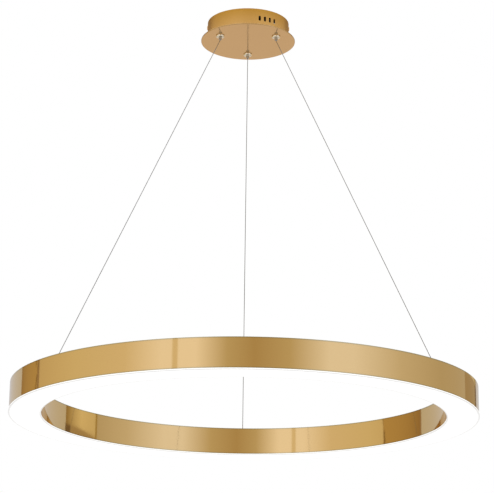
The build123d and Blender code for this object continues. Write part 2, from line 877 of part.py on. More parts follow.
def ring_tabs(wall, inward):
    """Angle tabs welded inside a band. inward is -1 towards the axis, 1 away from it."""
    shelf = (wall, wall + inward * ring_tab_length)
    leg = (wall, wall + inward * ring_tab_thickness)
    for number in range(tab_count):
        angle = 360.0 * number / tab_count
        arc_block(shelf, (top_under - ring_tab_thickness, top_under), angle, ring_tab_width)
        arc_block(leg, (top_under - ring_tab_leg, top_under), angle, ring_tab_width)


outer_tab_screws = outer_wall_inside - ring_tab_length / 2 - wall_gap
inner_tab_screws = inner_wall_inside + ring_tab_length / 2 + wall_gap
ledge_top = ring_low + ledge_height + ledge_thickness

with BuildPart() as outer_band:
    turn(rectangle_outline(outer_wall_inside, ring_radius, ring_low, ring_high))
    fillet(outer_band.edges(), band_edge_round)
    ledge = rectangle_outline(
        outer_wall_inside - ledge_width, outer_wall_inside, ring_low + ledge_height, ledge_top
    )
    turn(ledge)
    ring_tabs(outer_wall_inside, -1)
    with BuildSketch(Plane.XY.offset(top_under)):
        with PolarLocations(outer_tab_screws, tab_count):
            Circle(m3_radius + thread_gap)
    extrude(amount=-ring_tab_thickness, mode=Mode.SUBTRACT)
    with BuildSketch(Plane.XY.offset(ring_low)):
        with Locations((0, ring_radius)):
            Rectangle(seam_gap, 4 * band_thickness + 2 * ledge_width)
    extrude(amount=band_height, mode=Mode.SUBTRACT)
outer_band.part.label = "outer_band"
export_step(outer_band.part, "parts/outer_band.step")

with BuildPart() as inner_band:
    turn(rectangle_outline(inner_radius, inner_wall_inside, ring_low, ring_high))
    fillet(inner_band.edges(), band_edge_round)
    ledge = rectangle_outline(
        inner_wall_inside, inner_wall_inside + ledge_width, ring_low + ledge_height, ledge_top
    )
    turn(ledge)
    ring_tabs(inner_wall_inside, 1)
    with BuildSketch(Plane.XY.offset(top_under)):
        with PolarLocations(inner_tab_screws, tab_count):
            Circle(m3_radius + thread_gap)
    extrude(amount=-ring_tab_thickness, mode=Mode.SUBTRACT)
    with BuildSketch(Plane.XY.offset(ring_low)):
        with Locations((0, -inner_radius)):
            Rectangle(seam_gap, 4 * band_thickness + 2 * ledge_width)
    extrude(amount=band_height, mode=Mode.SUBTRACT)
inner_band.part.label = "inner_band"
export_step(inner_band.part, "parts/inner_band.step")

splice_low = ledge_top + hook_height + splice_margin
splice_high = top_under - splice_margin
with BuildPart() as band_splices:
    for wall, inward, angle in ((outer_wall_inside, -1, 90.0), (inner_wall_inside, 1, 270.0)):
        near = wall + inward * seat_gap
        radii = (near, near + inward * splice_thickness)
        arc_block(radii, (splice_low, splice_high), angle, splice_length)
band_splices.part.label = "band_splices"
export_step(band_splices.part, "parts/band_splices.step")

# ------------------------------------------------------------------- ring top plate

bush_hole = stud_radius + hole_gap + bush_wall
with BuildPart() as top_plate:
    with BuildSketch(Plane.XY.offset(top_under)):
        Circle(outer_wall_inside - wall_gap)
        Circle(inner_wall_inside + wall_gap, mode=Mode.SUBTRACT)
        with Locations(*anchors):
            Circle(bush_hole + hole_gap, mode=Mode.SUBTRACT)
        with PolarLocations(outer_tab_screws, tab_count):
            Circle(m3_radius + hole_gap, mode=Mode.SUBTRACT)
        with PolarLocations(inner_tab_screws, tab_count):
            Circle(m3_radius + hole_gap, mode=Mode.SUBTRACT)
    extrude(amount=top_thickness)
top_plate.part.label = "top_plate"
export_step(top_plate.part, "parts/top_plate.step")

screw_depth = top_thickness + ring_tab_thickness + screw_spare
with BuildPart() as plate_screws:
    for circle in (outer_tab_screws, inner_tab_screws):
        with BuildSketch(Plane.XY.offset(top_face)) as heads:
            with PolarLocations(circle, tab_count):
                Circle(m3_head_radius)
        extrude(heads.sketch, amount=m3_head)
        with BuildSketch(Plane.XY.offset(top_face)) as shanks:
            with PolarLocations(circle, tab_count):
                Circle(m3_radius)
        extrude(shanks.sketch, amount=-screw_depth)
        with BuildSketch(Plane.XY.offset(top_face + m3_head)) as drives:
            with PolarLocations(circle, tab_count):
                Rectangle(2 * m3_radius, slot_share * m3_radius)
                Rectangle(slot_share * m3_radius, 2 * m3_radius)
        extrude(drives.sketch, amount=-m3_head / 2, mode=Mode.SUBTRACT)
plate_screws.part.label = "plate_screws"
export_step(plate_screws.part, "parts/plate_screws.step")

# ------------------------------------------------------------------------- diffuser

tray_low = ring_low - diffuser_thickness
hook_low = ledge_top + hole_gap
hook_top = hook_low + hook_height
outer_lip = outer_wall_inside - ledge_width - 2 * fit_gap
inner_lip = inner_wall_inside + ledge_width + 2 * fit_gap

with BuildPart() as diffuser:
    turn(
        rectangle_outline(
            inner_radius - diffuser_overhang, ring_radius + diffuser_overhang, tray_low, ring_low
        )
    )
    fillet(diffuser.edges().group_by(Axis.Z)[0], diffuser_edge_round)
    turn(
        [
            (outer_lip - lip_thickness, ring_low),
            (outer_lip, ring_low),
            (outer_lip, hook_low),
            (outer_wall_inside - wall_gap, hook_low),
            (outer_wall_inside - wall_gap, hook_low + hook_height * hook_nose_share),
            (outer_lip, hook_top),
            (outer_lip - lip_thickness, hook_top),
        ]
    )
    turn(
        [
            (inner_lip + lip_thickness, ring_low),
            (inner_lip, ring_low),
            (inner_lip, hook_low),
            (inner_wall_inside + wall_gap, hook_low),
            (inner_wall_inside + wall_gap, hook_low + hook_height * hook_nose_share),
            (inner_lip, hook_top),
            (inner_lip + lip_thickness, hook_top),
        ]
    )
diffuser.part.label = "diffuser"
export_step(diffuser.part, "parts/diffuser.step")

# --------------------------------------------------------------------- light source

led_board_low = top_under - board_thickness
with BuildPart() as led_board:
    with BuildSketch(Plane.XY.offset(led_board_low)):
        Circle(board_radius + board_width / 2)
        Circle(board_radius - board_width / 2, mode=Mode.SUBTRACT)
        with PolarLocations(board_radius, board_segments, start_angle=180.0 / board_segments):
            Rectangle(2 * board_width, segment_gap, mode=Mode.SUBTRACT)
    extrude(amount=board_thickness)
led_board.part.label = "led_board"
export_step(led_board.part, "parts/led_board.step")

with BuildPart() as leds:
    with BuildSketch(Plane.XY.offset(led_board_low)):
        with PolarLocations(board_radius, led_count, start_angle=180.0 / led_count):
            Rectangle(led_width, led_length)
    extrude(amount=-led_height)
leds.part.label = "leds"
export_step(leds.part, "parts/leds.step")

# --------------------------------------------------------------------- wire anchors

anchor_seat = top_face + anchor_washer
cup_top = top_face + anchor_cup_rise
throat_low = wire_foot - throat_length
washer_low = top_under - anchor_washer
ball_drop = math.sqrt((wire_ball_radius + hole_gap) ** 2 - throat_radius**2)

with BuildPart() as wire_anchors:
    for place in anchors:
        turn(
            [
                (stud_bore_radius, top_under - stud_length),
                (stud_radius, top_under - stud_length),
                (stud_radius, anchor_seat),
                (anchor_flange_radius, anchor_seat),
                (anchor_flange_radius, anchor_seat + anchor_flange),
                (anchor_cup_radius, anchor_seat + anchor_flange),
                (anchor_cup_radius, cup_top - anchor_cup_round),
                (anchor_cup_radius - anchor_cup_round, cup_top),
                (mouth_radius, cup_top),
                (throat_radius, wire_foot),
                (throat_radius, throat_low),
                (stud_bore_radius, throat_low),
            ],
            place,
        )
wire_anchors.part.label = "wire_anchors"
export_step(wire_anchors.part, "parts/wire_anchors.step")

with BuildPart() as anchor_bushes:
    for place in anchors:
        bore = stud_radius + hole_gap
        turn(
            [
                (bore, top_under),
                (bush_hole, top_under),
                (bush_hole, top_face),
                (anchor_washer_radius, top_face),
                (anchor_washer_radius, anchor_seat),
                (bore, anchor_seat),
            ],
            place,
        )
anchor_bushes.part.label = "anchor_bushes"
export_step(anchor_bushes.part, "parts/anchor_bushes.step")

with BuildPart() as anchor_washers:
    for place in anchors:
        bore = stud_radius + hole_gap
        turn(rectangle_outline(bore, anchor_washer_radius, washer_low, top_under), place)
anchor_washers.part.label = "anchor_washers"
export_step(anchor_washers.part, "parts/anchor_washers.step")

with BuildPart() as anchor_nuts:
    for number, place in enumerate(anchors):
        seat = washer_low - (tag_thickness if wire_carries_current[number] else 0.0)
        low = seat - anchor_nut_thickness
        hex_nut(place, low, anchor_nut_thickness, anchor_nut_across, stud_radius + thread_gap)
anchor_nuts.part.label = "anchor_nuts"
export_step(anchor_nuts.part, "parts/anchor_nuts.step")

with BuildPart() as wire_ends:
    for place in anchors:
        with Locations((*place, throat_low - ball_drop)):
            Sphere(wire_ball_radius)
        with BuildSketch(Plane(origin=(*place, throat_low - ball_drop))):
            Circle(wire_stem_radius)
        extrude(amount=wire_foot - throat_low + ball_drop)
        with Locations((*place, wire_foot)):
            Sphere(wire_stem_radius)
wire_ends.part.label = "wire_ends"
export_step(wire_ends.part, "parts/wire_ends.step")

# Solder tags under the nuts of the two wires that carry current, each with a lead
# that loops down and out to the board
tag_low = washer_low - tag_thickness
with BuildPart() as solder_tags:
    for angle, place in powered_anchors:
        along = Plane(
            origin=(*place, tag_low),
            x_dir=(-math.sin(math.radians(angle)), math.cos(math.radians(angle)), 0),
        )
        with BuildSketch(along) as tag:
            Circle(anchor_flange_radius)
            with Locations((anchor_flange_radius + tag_tongue / 2 - tag_hold, 0)):
                Rectangle(tag_tongue, tag_tongue_width)
            Circle(stud_radius + hole_gap, mode=Mode.SUBTRACT)
        extrude(tag.sketch, amount=tag_thickness)
solder_tags.part.label = "solder_tags"
export_step(solder_tags.part, "parts/solder_tags.step")

with BuildPart() as ring_leads:
    for angle, place in powered_anchors:
        frame = Plane(
            origin=(*place, tag_low),
            x_dir=(-math.sin(math.radians(angle)), math.cos(math.radians(angle)), 0),
        )
        tongue_end = anchor_flange_radius + tag_tongue - solder_inset
        board_reach = board_radius - board_width / 2 - anchor_radius + board_pad_inset
        pad_depth = led_board_low - tag_low
        local_route = [
            (tongue_end, 0, 0),
            (tongue_end, 0, -ring_lead_drop),
            (tongue_end + ring_lead_run, -board_reach, -ring_lead_drop),
            (tongue_end + ring_lead_run, -board_reach, pad_depth),
        ]
        tube([tuple(frame.from_local_coords(point)) for point in local_route], lead_radius)
ring_leads.part.label = "ring_leads"
export_step(ring_leads.part, "parts/ring_leads.step")
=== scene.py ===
import math

import bmesh
import bpy
from mathutils import Matrix, Vector


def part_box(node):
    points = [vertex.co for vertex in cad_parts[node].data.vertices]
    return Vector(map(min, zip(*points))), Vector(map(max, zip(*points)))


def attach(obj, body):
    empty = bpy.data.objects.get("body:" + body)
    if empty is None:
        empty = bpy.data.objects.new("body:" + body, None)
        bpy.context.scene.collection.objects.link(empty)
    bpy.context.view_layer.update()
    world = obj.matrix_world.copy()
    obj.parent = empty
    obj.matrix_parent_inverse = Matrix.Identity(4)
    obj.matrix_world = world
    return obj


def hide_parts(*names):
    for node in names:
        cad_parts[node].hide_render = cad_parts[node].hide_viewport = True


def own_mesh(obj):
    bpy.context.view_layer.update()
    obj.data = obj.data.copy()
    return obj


# LED ring chandelier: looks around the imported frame. Metres, +Z up, the origin in the
# middle of the ceiling face. The camera looks along +Y, up from a little below the ring.

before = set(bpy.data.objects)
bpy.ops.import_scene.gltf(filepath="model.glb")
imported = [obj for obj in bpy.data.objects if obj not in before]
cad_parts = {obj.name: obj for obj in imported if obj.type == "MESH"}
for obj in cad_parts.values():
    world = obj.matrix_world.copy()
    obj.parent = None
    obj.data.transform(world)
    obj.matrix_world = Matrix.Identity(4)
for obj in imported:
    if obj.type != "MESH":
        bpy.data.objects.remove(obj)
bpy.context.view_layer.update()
MM = 0.001

# ------------------------------------------------------------------ sizes

outer_low, outer_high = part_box("outer_band")
plate_low, plate_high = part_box("canopy_plate")

RING_RADIUS = outer_high.x
RING_LOW = outer_low.z
RING_HIGH = outer_high.z
CHANNEL_WIDTH = 53.5 * MM
INNER_RADIUS = RING_RADIUS - CHANNEL_WIDTH
BAND_WALL = 1.2 * MM
BAND_ROUND = 0.25 * MM
SEAM_GAP = 0.3 * MM
LEDGE_WIDTH = 1.5 * MM
LEDGE_LOW = RING_LOW + 8 * MM
LEDGE_HIGH = LEDGE_LOW + 1 * MM
TOP_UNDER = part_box("top_plate")[0].z
TAB_COUNT = 6
TAB_WIDTH = 14 * MM
TAB_REACH = 10 * MM
TAB_LEG = 12 * MM
TAB_THICKNESS = 1.5 * MM

TRAY_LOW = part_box("diffuser")[0].z
TRAY_OVERHANG = 1 * MM
TRAY_ROUND = 0.9 * MM
LIP_GAP = 0.4 * MM
LIP_THICKNESS = 1.3 * MM
WALL_GAP = 0.3 * MM
HOOK_LOW = LEDGE_HIGH + 0.1 * MM
HOOK_HEIGHT = 1.9 * MM
HOOK_NOSE = 0.4

DRUM_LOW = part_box("canopy_drum")[0].z
PLATE_RADIUS = plate_high.x
PLATE_UNDER = plate_low.z

WIRE_ANGLES = (90.0, 210.0, 330.0)
GRIPPER_CIRCLE = 58 * MM
ANCHOR_CIRCLE = RING_RADIUS - 39 * MM
WIRE_RADIUS = 0.6 * MM
DOME_RADIUS = 7.75 * MM
DOME_FACE = PLATE_UNDER - 0.6 * MM
DOME_LOW = DOME_FACE - 3.4 * MM
DOME_FOOT = 3.9 * MM
DOME_BULGE = 1.1 * MM
BARREL_RADIUS = 5 * MM
BARREL_TOP = PLATE_UNDER + 14.4 * MM
CAP_LOW = BARREL_TOP - 2 * MM
CONE_LOW = 2.9 * MM
CONE_TOP = 4 * MM
BORE_LOW = DOME_LOW + 2.5 * MM
STEM_RADIUS = 2.7 * MM
STEM_BORE = 0.9 * MM
STEM_TIP = PLATE_UNDER - 8 * MM
STEM_ROUND = 0.9 * MM
COLLAR_RADIUS = 3.1 * MM
COLLAR_TOP = CAP_LOW - 7.4 * MM
COLLAR_HEIGHT = 1 * MM
SPRING_LOW = COLLAR_TOP + 0.2 * MM
SPRING_HIGH = CAP_LOW - 0.2 * MM
SPRING_RADIUS = 2.2 * MM
SPRING_WIRE = 0.25 * MM
SPRING_TURNS = 6
WIRE_EXIT = STEM_TIP - WIRE_RADIUS
WIRE_FOOT = TOP_UNDER + 5 * MM
WIRE_END_GAP = 0.95 * MM

# Steps round a turned piece, and along a rounded edge
RING_STEPS = 720
DOME_STEPS = 72
STEM_STEPS = 48
TAB_STEPS = 6
BULGE_STEPS = 12
EDGE_STEPS = 5
STEM_EDGE_STEPS = 8


def at_angle(radius, degrees):
    """The (x, y) of a point on a circle about the upright axis."""
    return radius * math.cos(math.radians(degrees)), radius * math.sin(math.radians(degrees))


# ------------------------------------------------------------- mesh tools

# Shorter runs than this, in metres, are left out
TINY = 1e-9


def rounded(corners, steps=EDGE_STEPS):
    """A closed outline of runs from corners (radius, height, rounding), anticlockwise.

    Each run is (start, end, normal at start, normal at end), so that flat faces stay
    flat and rounded edges catch the light smoothly.
    """
    points = [Vector(corner[:2]) for corner in corners]
    count = len(points)
    exits, arcs = [], []
    for index, corner in enumerate(corners):
        before = (points[index] - points[index - 1]).normalized()
        after = (points[(index + 1) % count] - points[index]).normalized()
        rounding = corner[2]
        if rounding == 0:
            exits.append((points[index], points[index]))
            arcs.append([])
            continue
        turn = before.angle_signed(after) * -1
        reach = rounding * abs(math.tan(turn / 2))
        start = points[index] - before * reach
        end = points[index] + after * reach
        side = 1 if turn > 0 else -1
        centre = start + Vector((-before.y, before.x)) * rounding * side
        first = start - centre
        ring = []
        for step in range(steps + 1):
            swing = Matrix.Rotation(turn * step / steps, 2)
            spoke = swing @ first
            ring.append((centre + spoke, spoke.normalized() * side))
        runs = []
        for (here, normal), (there, next_normal) in zip(ring, ring[1:]):
            runs.append((here, there, normal, next_normal))
        exits.append((start, end))
        arcs.append(runs)
    outline = []
    for index in range(count):
        outline.extend(arcs[index])
        here = exits[index][1]
        there = exits[(index + 1) % count][0]
        if (there - here).length > TINY:
            along = (there - here).normalized()
            normal = Vector((along.y, -along.x))
            outline.append((here, there, normal, normal))
    return outline


def revolve(bm, outline, segments, centre, normals, start=0.0, sweep=360.0):
    """Turns an outline's runs about an upright line and adds the faces to bm."""
    whole = sweep == 360.0
    columns = segments if whole else segments + 1
    swings = [math.radians(start + sweep * k / segments) for k in range(columns)]

    def key(point):
        return round(point.x, 9), round(point.y, 9)

    def swung(point, swing, middle=(0.0, 0.0)):
        return (
            middle[0] + point.x * math.cos(swing),
            middle[1] + point.x * math.sin(swing),
            point.y,
        )

    places = {}
    for run in outline:
        for point in run[:2]:
            if key(point) not in places:
                places[key(point)] = [
                    bm.verts.new(swung(point, swing, centre)) for swing in swings
                ]
    for here, there, normal, next_normal in outline:
        low, high = places[key(here)], places[key(there)]
        for k in range(segments):
            after = (k + 1) % columns
            bm.faces.new((low[k], low[after], high[after], high[k]))
            normals.extend(swung(normal, swings[column]) for column in (k, after))
            normals.extend(swung(next_normal, swings[column]) for column in (after, k))
    if not whole:
        for column, side in ((0, -1), (columns - 1, 1)):
            ends = [places[key(run[0])][column] for run in outline]
            bm.faces.new(ends if side < 0 else ends[::-1])
            swing = swings[column]
            normals.extend([(-side * math.sin(swing), side * math.cos(swing), 0.0)] * len(ends))


def piece(name, bm, normals, body, surface, node):
    """Makes an object of bm that rides on a body and stands for a CAD node."""
    mesh = bpy.data.meshes.new(name)
    bm.to_mesh(mesh)
    bm.free()
    mesh.shade_smooth()
    if normals:
        mesh.normals_split_custom_set(normals)
    made = bpy.data.objects.new(name, mesh)
    bpy.context.scene.collection.objects.link(made)
    mesh.materials.append(surface.material)
    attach(made, body)
    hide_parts(node)
    return made


def skin(bm, rings):
    """Joins rings of vertices into a closed tube."""
    count = len(rings[0])
    for low, high in zip(rings, rings[1:]):
        for k in range(count):
            after = (k + 1) % count
            bm.faces.new((low[k], low[after], high[after], high[k]))
    bm.faces.new(rings[0][::-1])
    bm.faces.new(rings[-1])
    bmesh.ops.recalc_face_normals(bm, faces=bm.faces)


def turned(name, outline, body, surface, node, centre, segments):
    """A piece with one outline turned about an upright line."""
    bm = bmesh.new()
    normals = []
    revolve(bm, outline, segments, centre, normals)
    return piece(name, bm, normals, body, surface, node)


# -------------------------------------------------------------- materials

# The sockets of a colour Mix node
MIX_SHARE, MIX_A, MIX_B, MIX_RESULT = 0, 6, 7, 2


class Surface:
    """A Principled material built node by node."""

    def __init__(self, name, colour, metallic=0.0, roughness=0.5):
        self.material = bpy.data.materials.new(name)
        self.material.use_nodes = True
        self.tree = self.material.node_tree
        self.shader = self.tree.nodes["Principled BSDF"]
        self.colour = colour
        self.shader.inputs["Base Color"].default_value = (*colour, 1)
        self.shader.inputs["Metallic"].default_value = metallic
        self.shader.inputs["Roughness"].default_value = roughness
        self.roughness = roughness
        self.place = self.add("ShaderNodeTexCoord").outputs["Object"]

    def add(self, kind, **settings):
        node = self.tree.nodes.new(kind)
        for field, value in settings.items():
            setattr(node, field, value)
        return node

    def link(self, output, target):
        self.tree.links.new(output, target)

    def noise(self, scale, detail=3.0):
        texture = self.add("ShaderNodeTexNoise")
        texture.inputs["Scale"].default_value = scale
        texture.inputs["Detail"].default_value = detail
        self.link(self.place, texture.inputs["Vector"])
        return texture.outputs["Fac"]

    def spread(self, value, low, high):
        """Maps a 0 to 1 value to low to high."""
        scaled = self.add("ShaderNodeMapRange")
        scaled.inputs["To Min"].default_value = low
        scaled.inputs["To Max"].default_value = high
        self.link(value, scaled.inputs["Value"])
        return scaled.outputs["Result"]

    def vary_roughness(self, scale, amount):
        """Smoother and rougher patches."""
        value = self.spread(self.noise(scale), self.roughness - amount, self.roughness + amount)
        self.link(value, self.shader.inputs["Roughness"])
        return self

    def vary_colour(self, scale, amount):
        """Lighter and darker patches of the base colour."""
        mix = self.add("ShaderNodeMix", data_type="RGBA")
        mix.inputs[MIX_A].default_value = (*[c * (1 - amount) for c in self.colour], 1)
        mix.inputs[MIX_B].default_value = (*[min(1, c * (1 + amount)) for c in self.colour], 1)
        self.link(self.noise(scale), mix.inputs[MIX_SHARE])
        self.link(mix.outputs[MIX_RESULT], self.shader.inputs["Base Color"])
        return self

    def bump(self, scale, distance, strength=1.0, detail=3.0):
        """Small waves or grain, distance metres high."""
        node = self.add("ShaderNodeBump")
        node.inputs["Strength"].default_value = strength
        node.inputs["Distance"].default_value = distance
        self.link(self.noise(scale, detail), node.inputs["Height"])
        self.link(node.outputs["Normal"], self.shader.inputs["Normal"])
        return self

    def height(self):
        """The object's own height at each point."""
        split = self.add("ShaderNodeSeparateXYZ")
        self.link(self.place, split.inputs["Vector"])
        return split.outputs["Z"]

    def tint(self, factor):
        """Multiplies the varied base colour by another colour."""
        base = self.shader.inputs["Base Color"]
        scaled = self.add("ShaderNodeMix", data_type="RGBA", blend_type="MULTIPLY")
        scaled.inputs[MIX_SHARE].default_value = 1.0
        self.link(base.links[0].from_socket, scaled.inputs[MIX_A])
        self.link(factor, scaled.inputs[MIX_B])
        self.link(scaled.outputs[MIX_RESULT], base)
        return self

    def fade(self, value, start, end, colour):
        """Tints the colour more and more as a value goes from start to end."""
        share = self.add("ShaderNodeMapRange")
        share.inputs["From Min"].default_value = start
        share.inputs["From Max"].default_value = end
        self.link(value, share.inputs["Value"])
        mix = self.add("ShaderNodeMix", data_type="RGBA")
        mix.inputs[MIX_A].default_value = (1, 1, 1, 1)
        mix.inputs[MIX_B].default_value = (*colour, 1)
        self.link(share.outputs["Result"], mix.inputs[MIX_SHARE])
        return self.tint(mix.outputs[MIX_RESULT])

    def painted_rim_shade(self, low, high, reach, colour):
        """Painted shade: a darker, greyer line within reach of a band's two edges."""
        self.fade(self.height(), low + reach, low, colour)
        return self.fade(self.height(), high - reach, high, colour)

    def radius(self):
        """How far each point is from the object's upright axis."""
        split = self.add("ShaderNodeSeparateXYZ")
        self.link(self.place, split.inputs["Vector"])
        flat = self.add("ShaderNodeCombineXYZ")
        self.link(split.outputs["X"], flat.inputs["X"])
        self.link(split.outputs["Y"], flat.inputs["Y"])
        length = self.add("ShaderNodeVectorMath", operation="LENGTH")
        self.link(flat.outputs["Vector"], length.inputs[0])
        return length.outputs["Value"]

    def coat(self, weight, roughness):
        self.shader.inputs["Coat Weight"].default_value = weight
        self.shader.inputs["Coat Roughness"].default_value = roughness
        return self


GOLD = (0.78, 0.545, 0.245)
CANOPY_GOLD = (0.80, 0.535, 0.25)
DRUM_GOLD = (0.83, 0.50, 0.175)
# Painted shade: the drum grows darker and deeper in colour towards its top, at the ceiling
DRUM_TOP_SHADE = (0.80, 0.70, 0.33)
# Painted shade: a darker, greyer line along both edges of each polished band
RIM_SHADE_REACH = 2.6 * MM
RIM_SHADE_TINT = (0.50, 0.66, 0.90)
# Painted shade: a darker, greyer rim at the canopy plate's outer edge
PLATE_EDGE_SHADE_REACH = 1.5 * MM
PLATE_EDGE_SHADE = (0.85, 0.80, 0.72)

polished_gold = Surface("polished_gold", GOLD, 1.0, 0.055)
polished_gold.vary_roughness(35, 0.02).vary_colour(9, 0.02).bump(5, 0.00035, 0.5, 1.0)
# painted shade along the bands' top and bottom edges
polished_gold.painted_rim_shade(RING_LOW, RING_HIGH, RIM_SHADE_REACH, RIM_SHADE_TINT)
satin_gold = Surface("satin_gold", CANOPY_GOLD, 1.0, 0.115)
satin_gold.vary_roughness(60, 0.02).vary_colour(25, 0.015).bump(900, 0.00001, 0.3)
# painted shade on the plate's outer rim
satin_gold.fade(satin_gold.radius(), PLATE_RADIUS - PLATE_EDGE_SHADE_REACH, PLATE_RADIUS, PLATE_EDGE_SHADE)
drum_gold = Surface("drum_gold", DRUM_GOLD, 1.0, 0.34)
drum_gold.vary_roughness(60, 0.03).vary_colour(25, 0.015).bump(900, 0.00001, 0.3)
# painted shade, darker towards the top of the drum
drum_gold.fade(drum_gold.height(), DRUM_LOW, 0.0, DRUM_TOP_SHADE)
plate_gold = Surface("plate_gold", GOLD, 1.0, 0.3)
plate_gold.vary_roughness(40, 0.05).vary_colour(12, 0.03).bump(700, 0.00002, 0.5)
chrome = Surface("chrome", (0.80, 0.79, 0.77), 1.0, 0.09)
chrome.vary_roughness(300, 0.03).bump(400, 0.00001, 0.5)
zinc = Surface("zinc", (0.60, 0.61, 0.62), 1.0, 0.34)
zinc.vary_roughness(220, 0.09).vary_colour(140, 0.12).bump(900, 0.00002)
champagne = Surface("champagne_chrome", (0.96, 0.85, 0.66), 1.0, 0.10)
champagne.vary_roughness(300, 0.03).bump(400, 0.00001, 0.5)
nickel = Surface("nickel", (0.46, 0.45, 0.43), 1.0, 0.16)
nickel.vary_roughness(300, 0.03).bump(400, 0.00001, 0.5)
wire_steel = Surface("wire_steel", (0.30, 0.30, 0.31), 1.0, 0.33)
wire_steel.vary_roughness(900, 0.06).coat(0.5, 0.15)
aluminium = Surface("board_aluminium", (0.90, 0.90, 0.88), 0.0, 0.35)
aluminium.vary_roughness(80, 0.05).vary_colour(50, 0.02)
phosphor = Surface("led_phosphor", (0.93, 0.80, 0.35), 0.0, 0.25)
phosphor.vary_colour(900, 0.05)
case_plastic = Surface("driver_plastic", (0.80, 0.80, 0.78), 0.0, 0.55)
case_plastic.vary_roughness(150, 0.06).vary_colour(60, 0.02).bump(1400, 0.00003)
board_green = Surface("circuit_board", (0.06, 0.22, 0.10), 0.0, 0.35)
board_green.vary_colour(300, 0.25)
ferrite = Surface("ferrite", (0.07, 0.07, 0.075), 0.0, 0.6)
ferrite.vary_colour(400, 0.2).bump(1500, 0.00003)
sleeve_dark = Surface("capacitor_sleeve", (0.05, 0.06, 0.14), 0.0, 0.25)
sleeve_dark.vary_colour(300, 0.1)
foam = Surface("foam", (0.14, 0.14, 0.145), 0.0, 0.95)
foam.vary_colour(900, 0.3).bump(1300, 0.0002)
terminal_plastic = Surface("terminal_plastic", (0.83, 0.80, 0.71), 0.0, 0.5)
terminal_plastic.vary_roughness(200, 0.08).vary_colour(90, 0.03).bump(1200, 0.00003)
brass = Surface("clamp_brass", (0.72, 0.55, 0.27), 1.0, 0.3)
brass.vary_roughness(300, 0.08).vary_colour(200, 0.1)
nylon = Surface("nylon", (0.86, 0.84, 0.78), 0.0, 0.42)
nylon.vary_roughness(300, 0.05).vary_colour(200, 0.03)
sleeve_clear = Surface("sleeve_plastic", (0.60, 0.62, 0.66), 0.0, 0.3)
sleeve_clear.vary_roughness(400, 0.06).vary_colour(200, 0.04)


def insulation(name, colour):
    """Soft drawn insulation of a lead."""
    made = Surface(name, colour, 0.0, 0.42)
    made.vary_roughness(500, 0.06).vary_colour(260, 0.08).bump(1800, 0.00002)
    return made


brown = insulation("brown_insulation", (0.20, 0.085, 0.035))
blue = insulation("blue_insulation", (0.045, 0.16, 0.50))
red = insulation("red_insulation", (0.52, 0.035, 0.025))
black = insulation("black_insulation", (0.022, 0.022, 0.024))


EARTH_GREEN, EARTH_YELLOW = (0.10, 0.36, 0.06), (0.80, 0.66, 0.05)
STRIPE_SCALE, STRIPE_START = 90, 0.6


def earth_insulation():
    """Green insulation with a yellow stripe wound along it."""
    made = Surface("green_yellow_insulation", EARTH_GREEN, 0.0, 0.42)
    wave = made.add("ShaderNodeTexWave", wave_type="BANDS", bands_direction="DIAGONAL")
    wave.inputs["Scale"].default_value = STRIPE_SCALE
    made.link(made.place, wave.inputs["Vector"])
    ramp = made.add("ShaderNodeValToRGB")
    ramp.color_ramp.interpolation = "CONSTANT"
    ramp.color_ramp.elements[0].color = (*EARTH_GREEN, 1)
    ramp.color_ramp.elements[1].position = STRIPE_START
    ramp.color_ramp.elements[1].color = (*EARTH_YELLOW, 1)
    made.link(wave.outputs["Fac"], ramp.inputs["Fac"])
    made.link(ramp.outputs["Color"], made.shader.inputs["Base Color"])
    made.vary_roughness(500, 0.06)
    return made


green_yellow = earth_insulation()

GLOW, RIM_GLOW = 0.72, 0.38
GLOW_FALL = 4 * MM
SIDE_GLOW_START = 0.3 * TRAY_ROUND


def glowing_opal():
    """Opal plastic lit from above, a little dimmer along the edges of its face."""
    made = Surface("opal_diffuser", (0.50, 0.50, 0.495), 0.0, 0.45)
    middle = (RING_RADIUS + INNER_RADIUS) / 2
    away = made.add("ShaderNodeMath", operation="SUBTRACT")
    away.inputs[1].default_value = middle
    made.link(made.radius(), away.inputs[0])
    size = made.add("ShaderNodeMath", operation="ABSOLUTE")
    made.link(away.outputs["Value"], size.inputs[0])
    rim = made.add("ShaderNodeMapRange")
    half = CHANNEL_WIDTH / 2
    rim.inputs["From Min"].default_value = half + TRAY_OVERHANG - GLOW_FALL
    rim.inputs["From Max"].default_value = half + TRAY_OVERHANG
    rim.inputs["To Min"].default_value = GLOW
    rim.inputs["To Max"].default_value = RIM_GLOW
    made.link(size.outputs["Value"], rim.inputs["Value"])
    side = made.add("ShaderNodeMapRange")
    side.inputs["From Min"].default_value = TRAY_LOW + SIDE_GLOW_START
    side.inputs["From Max"].default_value = TRAY_LOW + TRAY_ROUND
    side.inputs["To Max"].default_value = GLOW
    made.link(made.height(), side.inputs["Value"])
    brighter = made.add("ShaderNodeMath", operation="MAXIMUM")
    made.link(rim.outputs["Result"], brighter.inputs[0])
    made.link(side.outputs["Result"], brighter.inputs[1])
    made.link(brighter.outputs["Value"], made.shader.inputs["Emission Strength"])
    made.shader.inputs["Emission Color"].default_value = (1, 1, 1, 1)
    made.vary_roughness(120, 0.05).bump(600, 0.00002)
    return made


opal = glowing_opal()

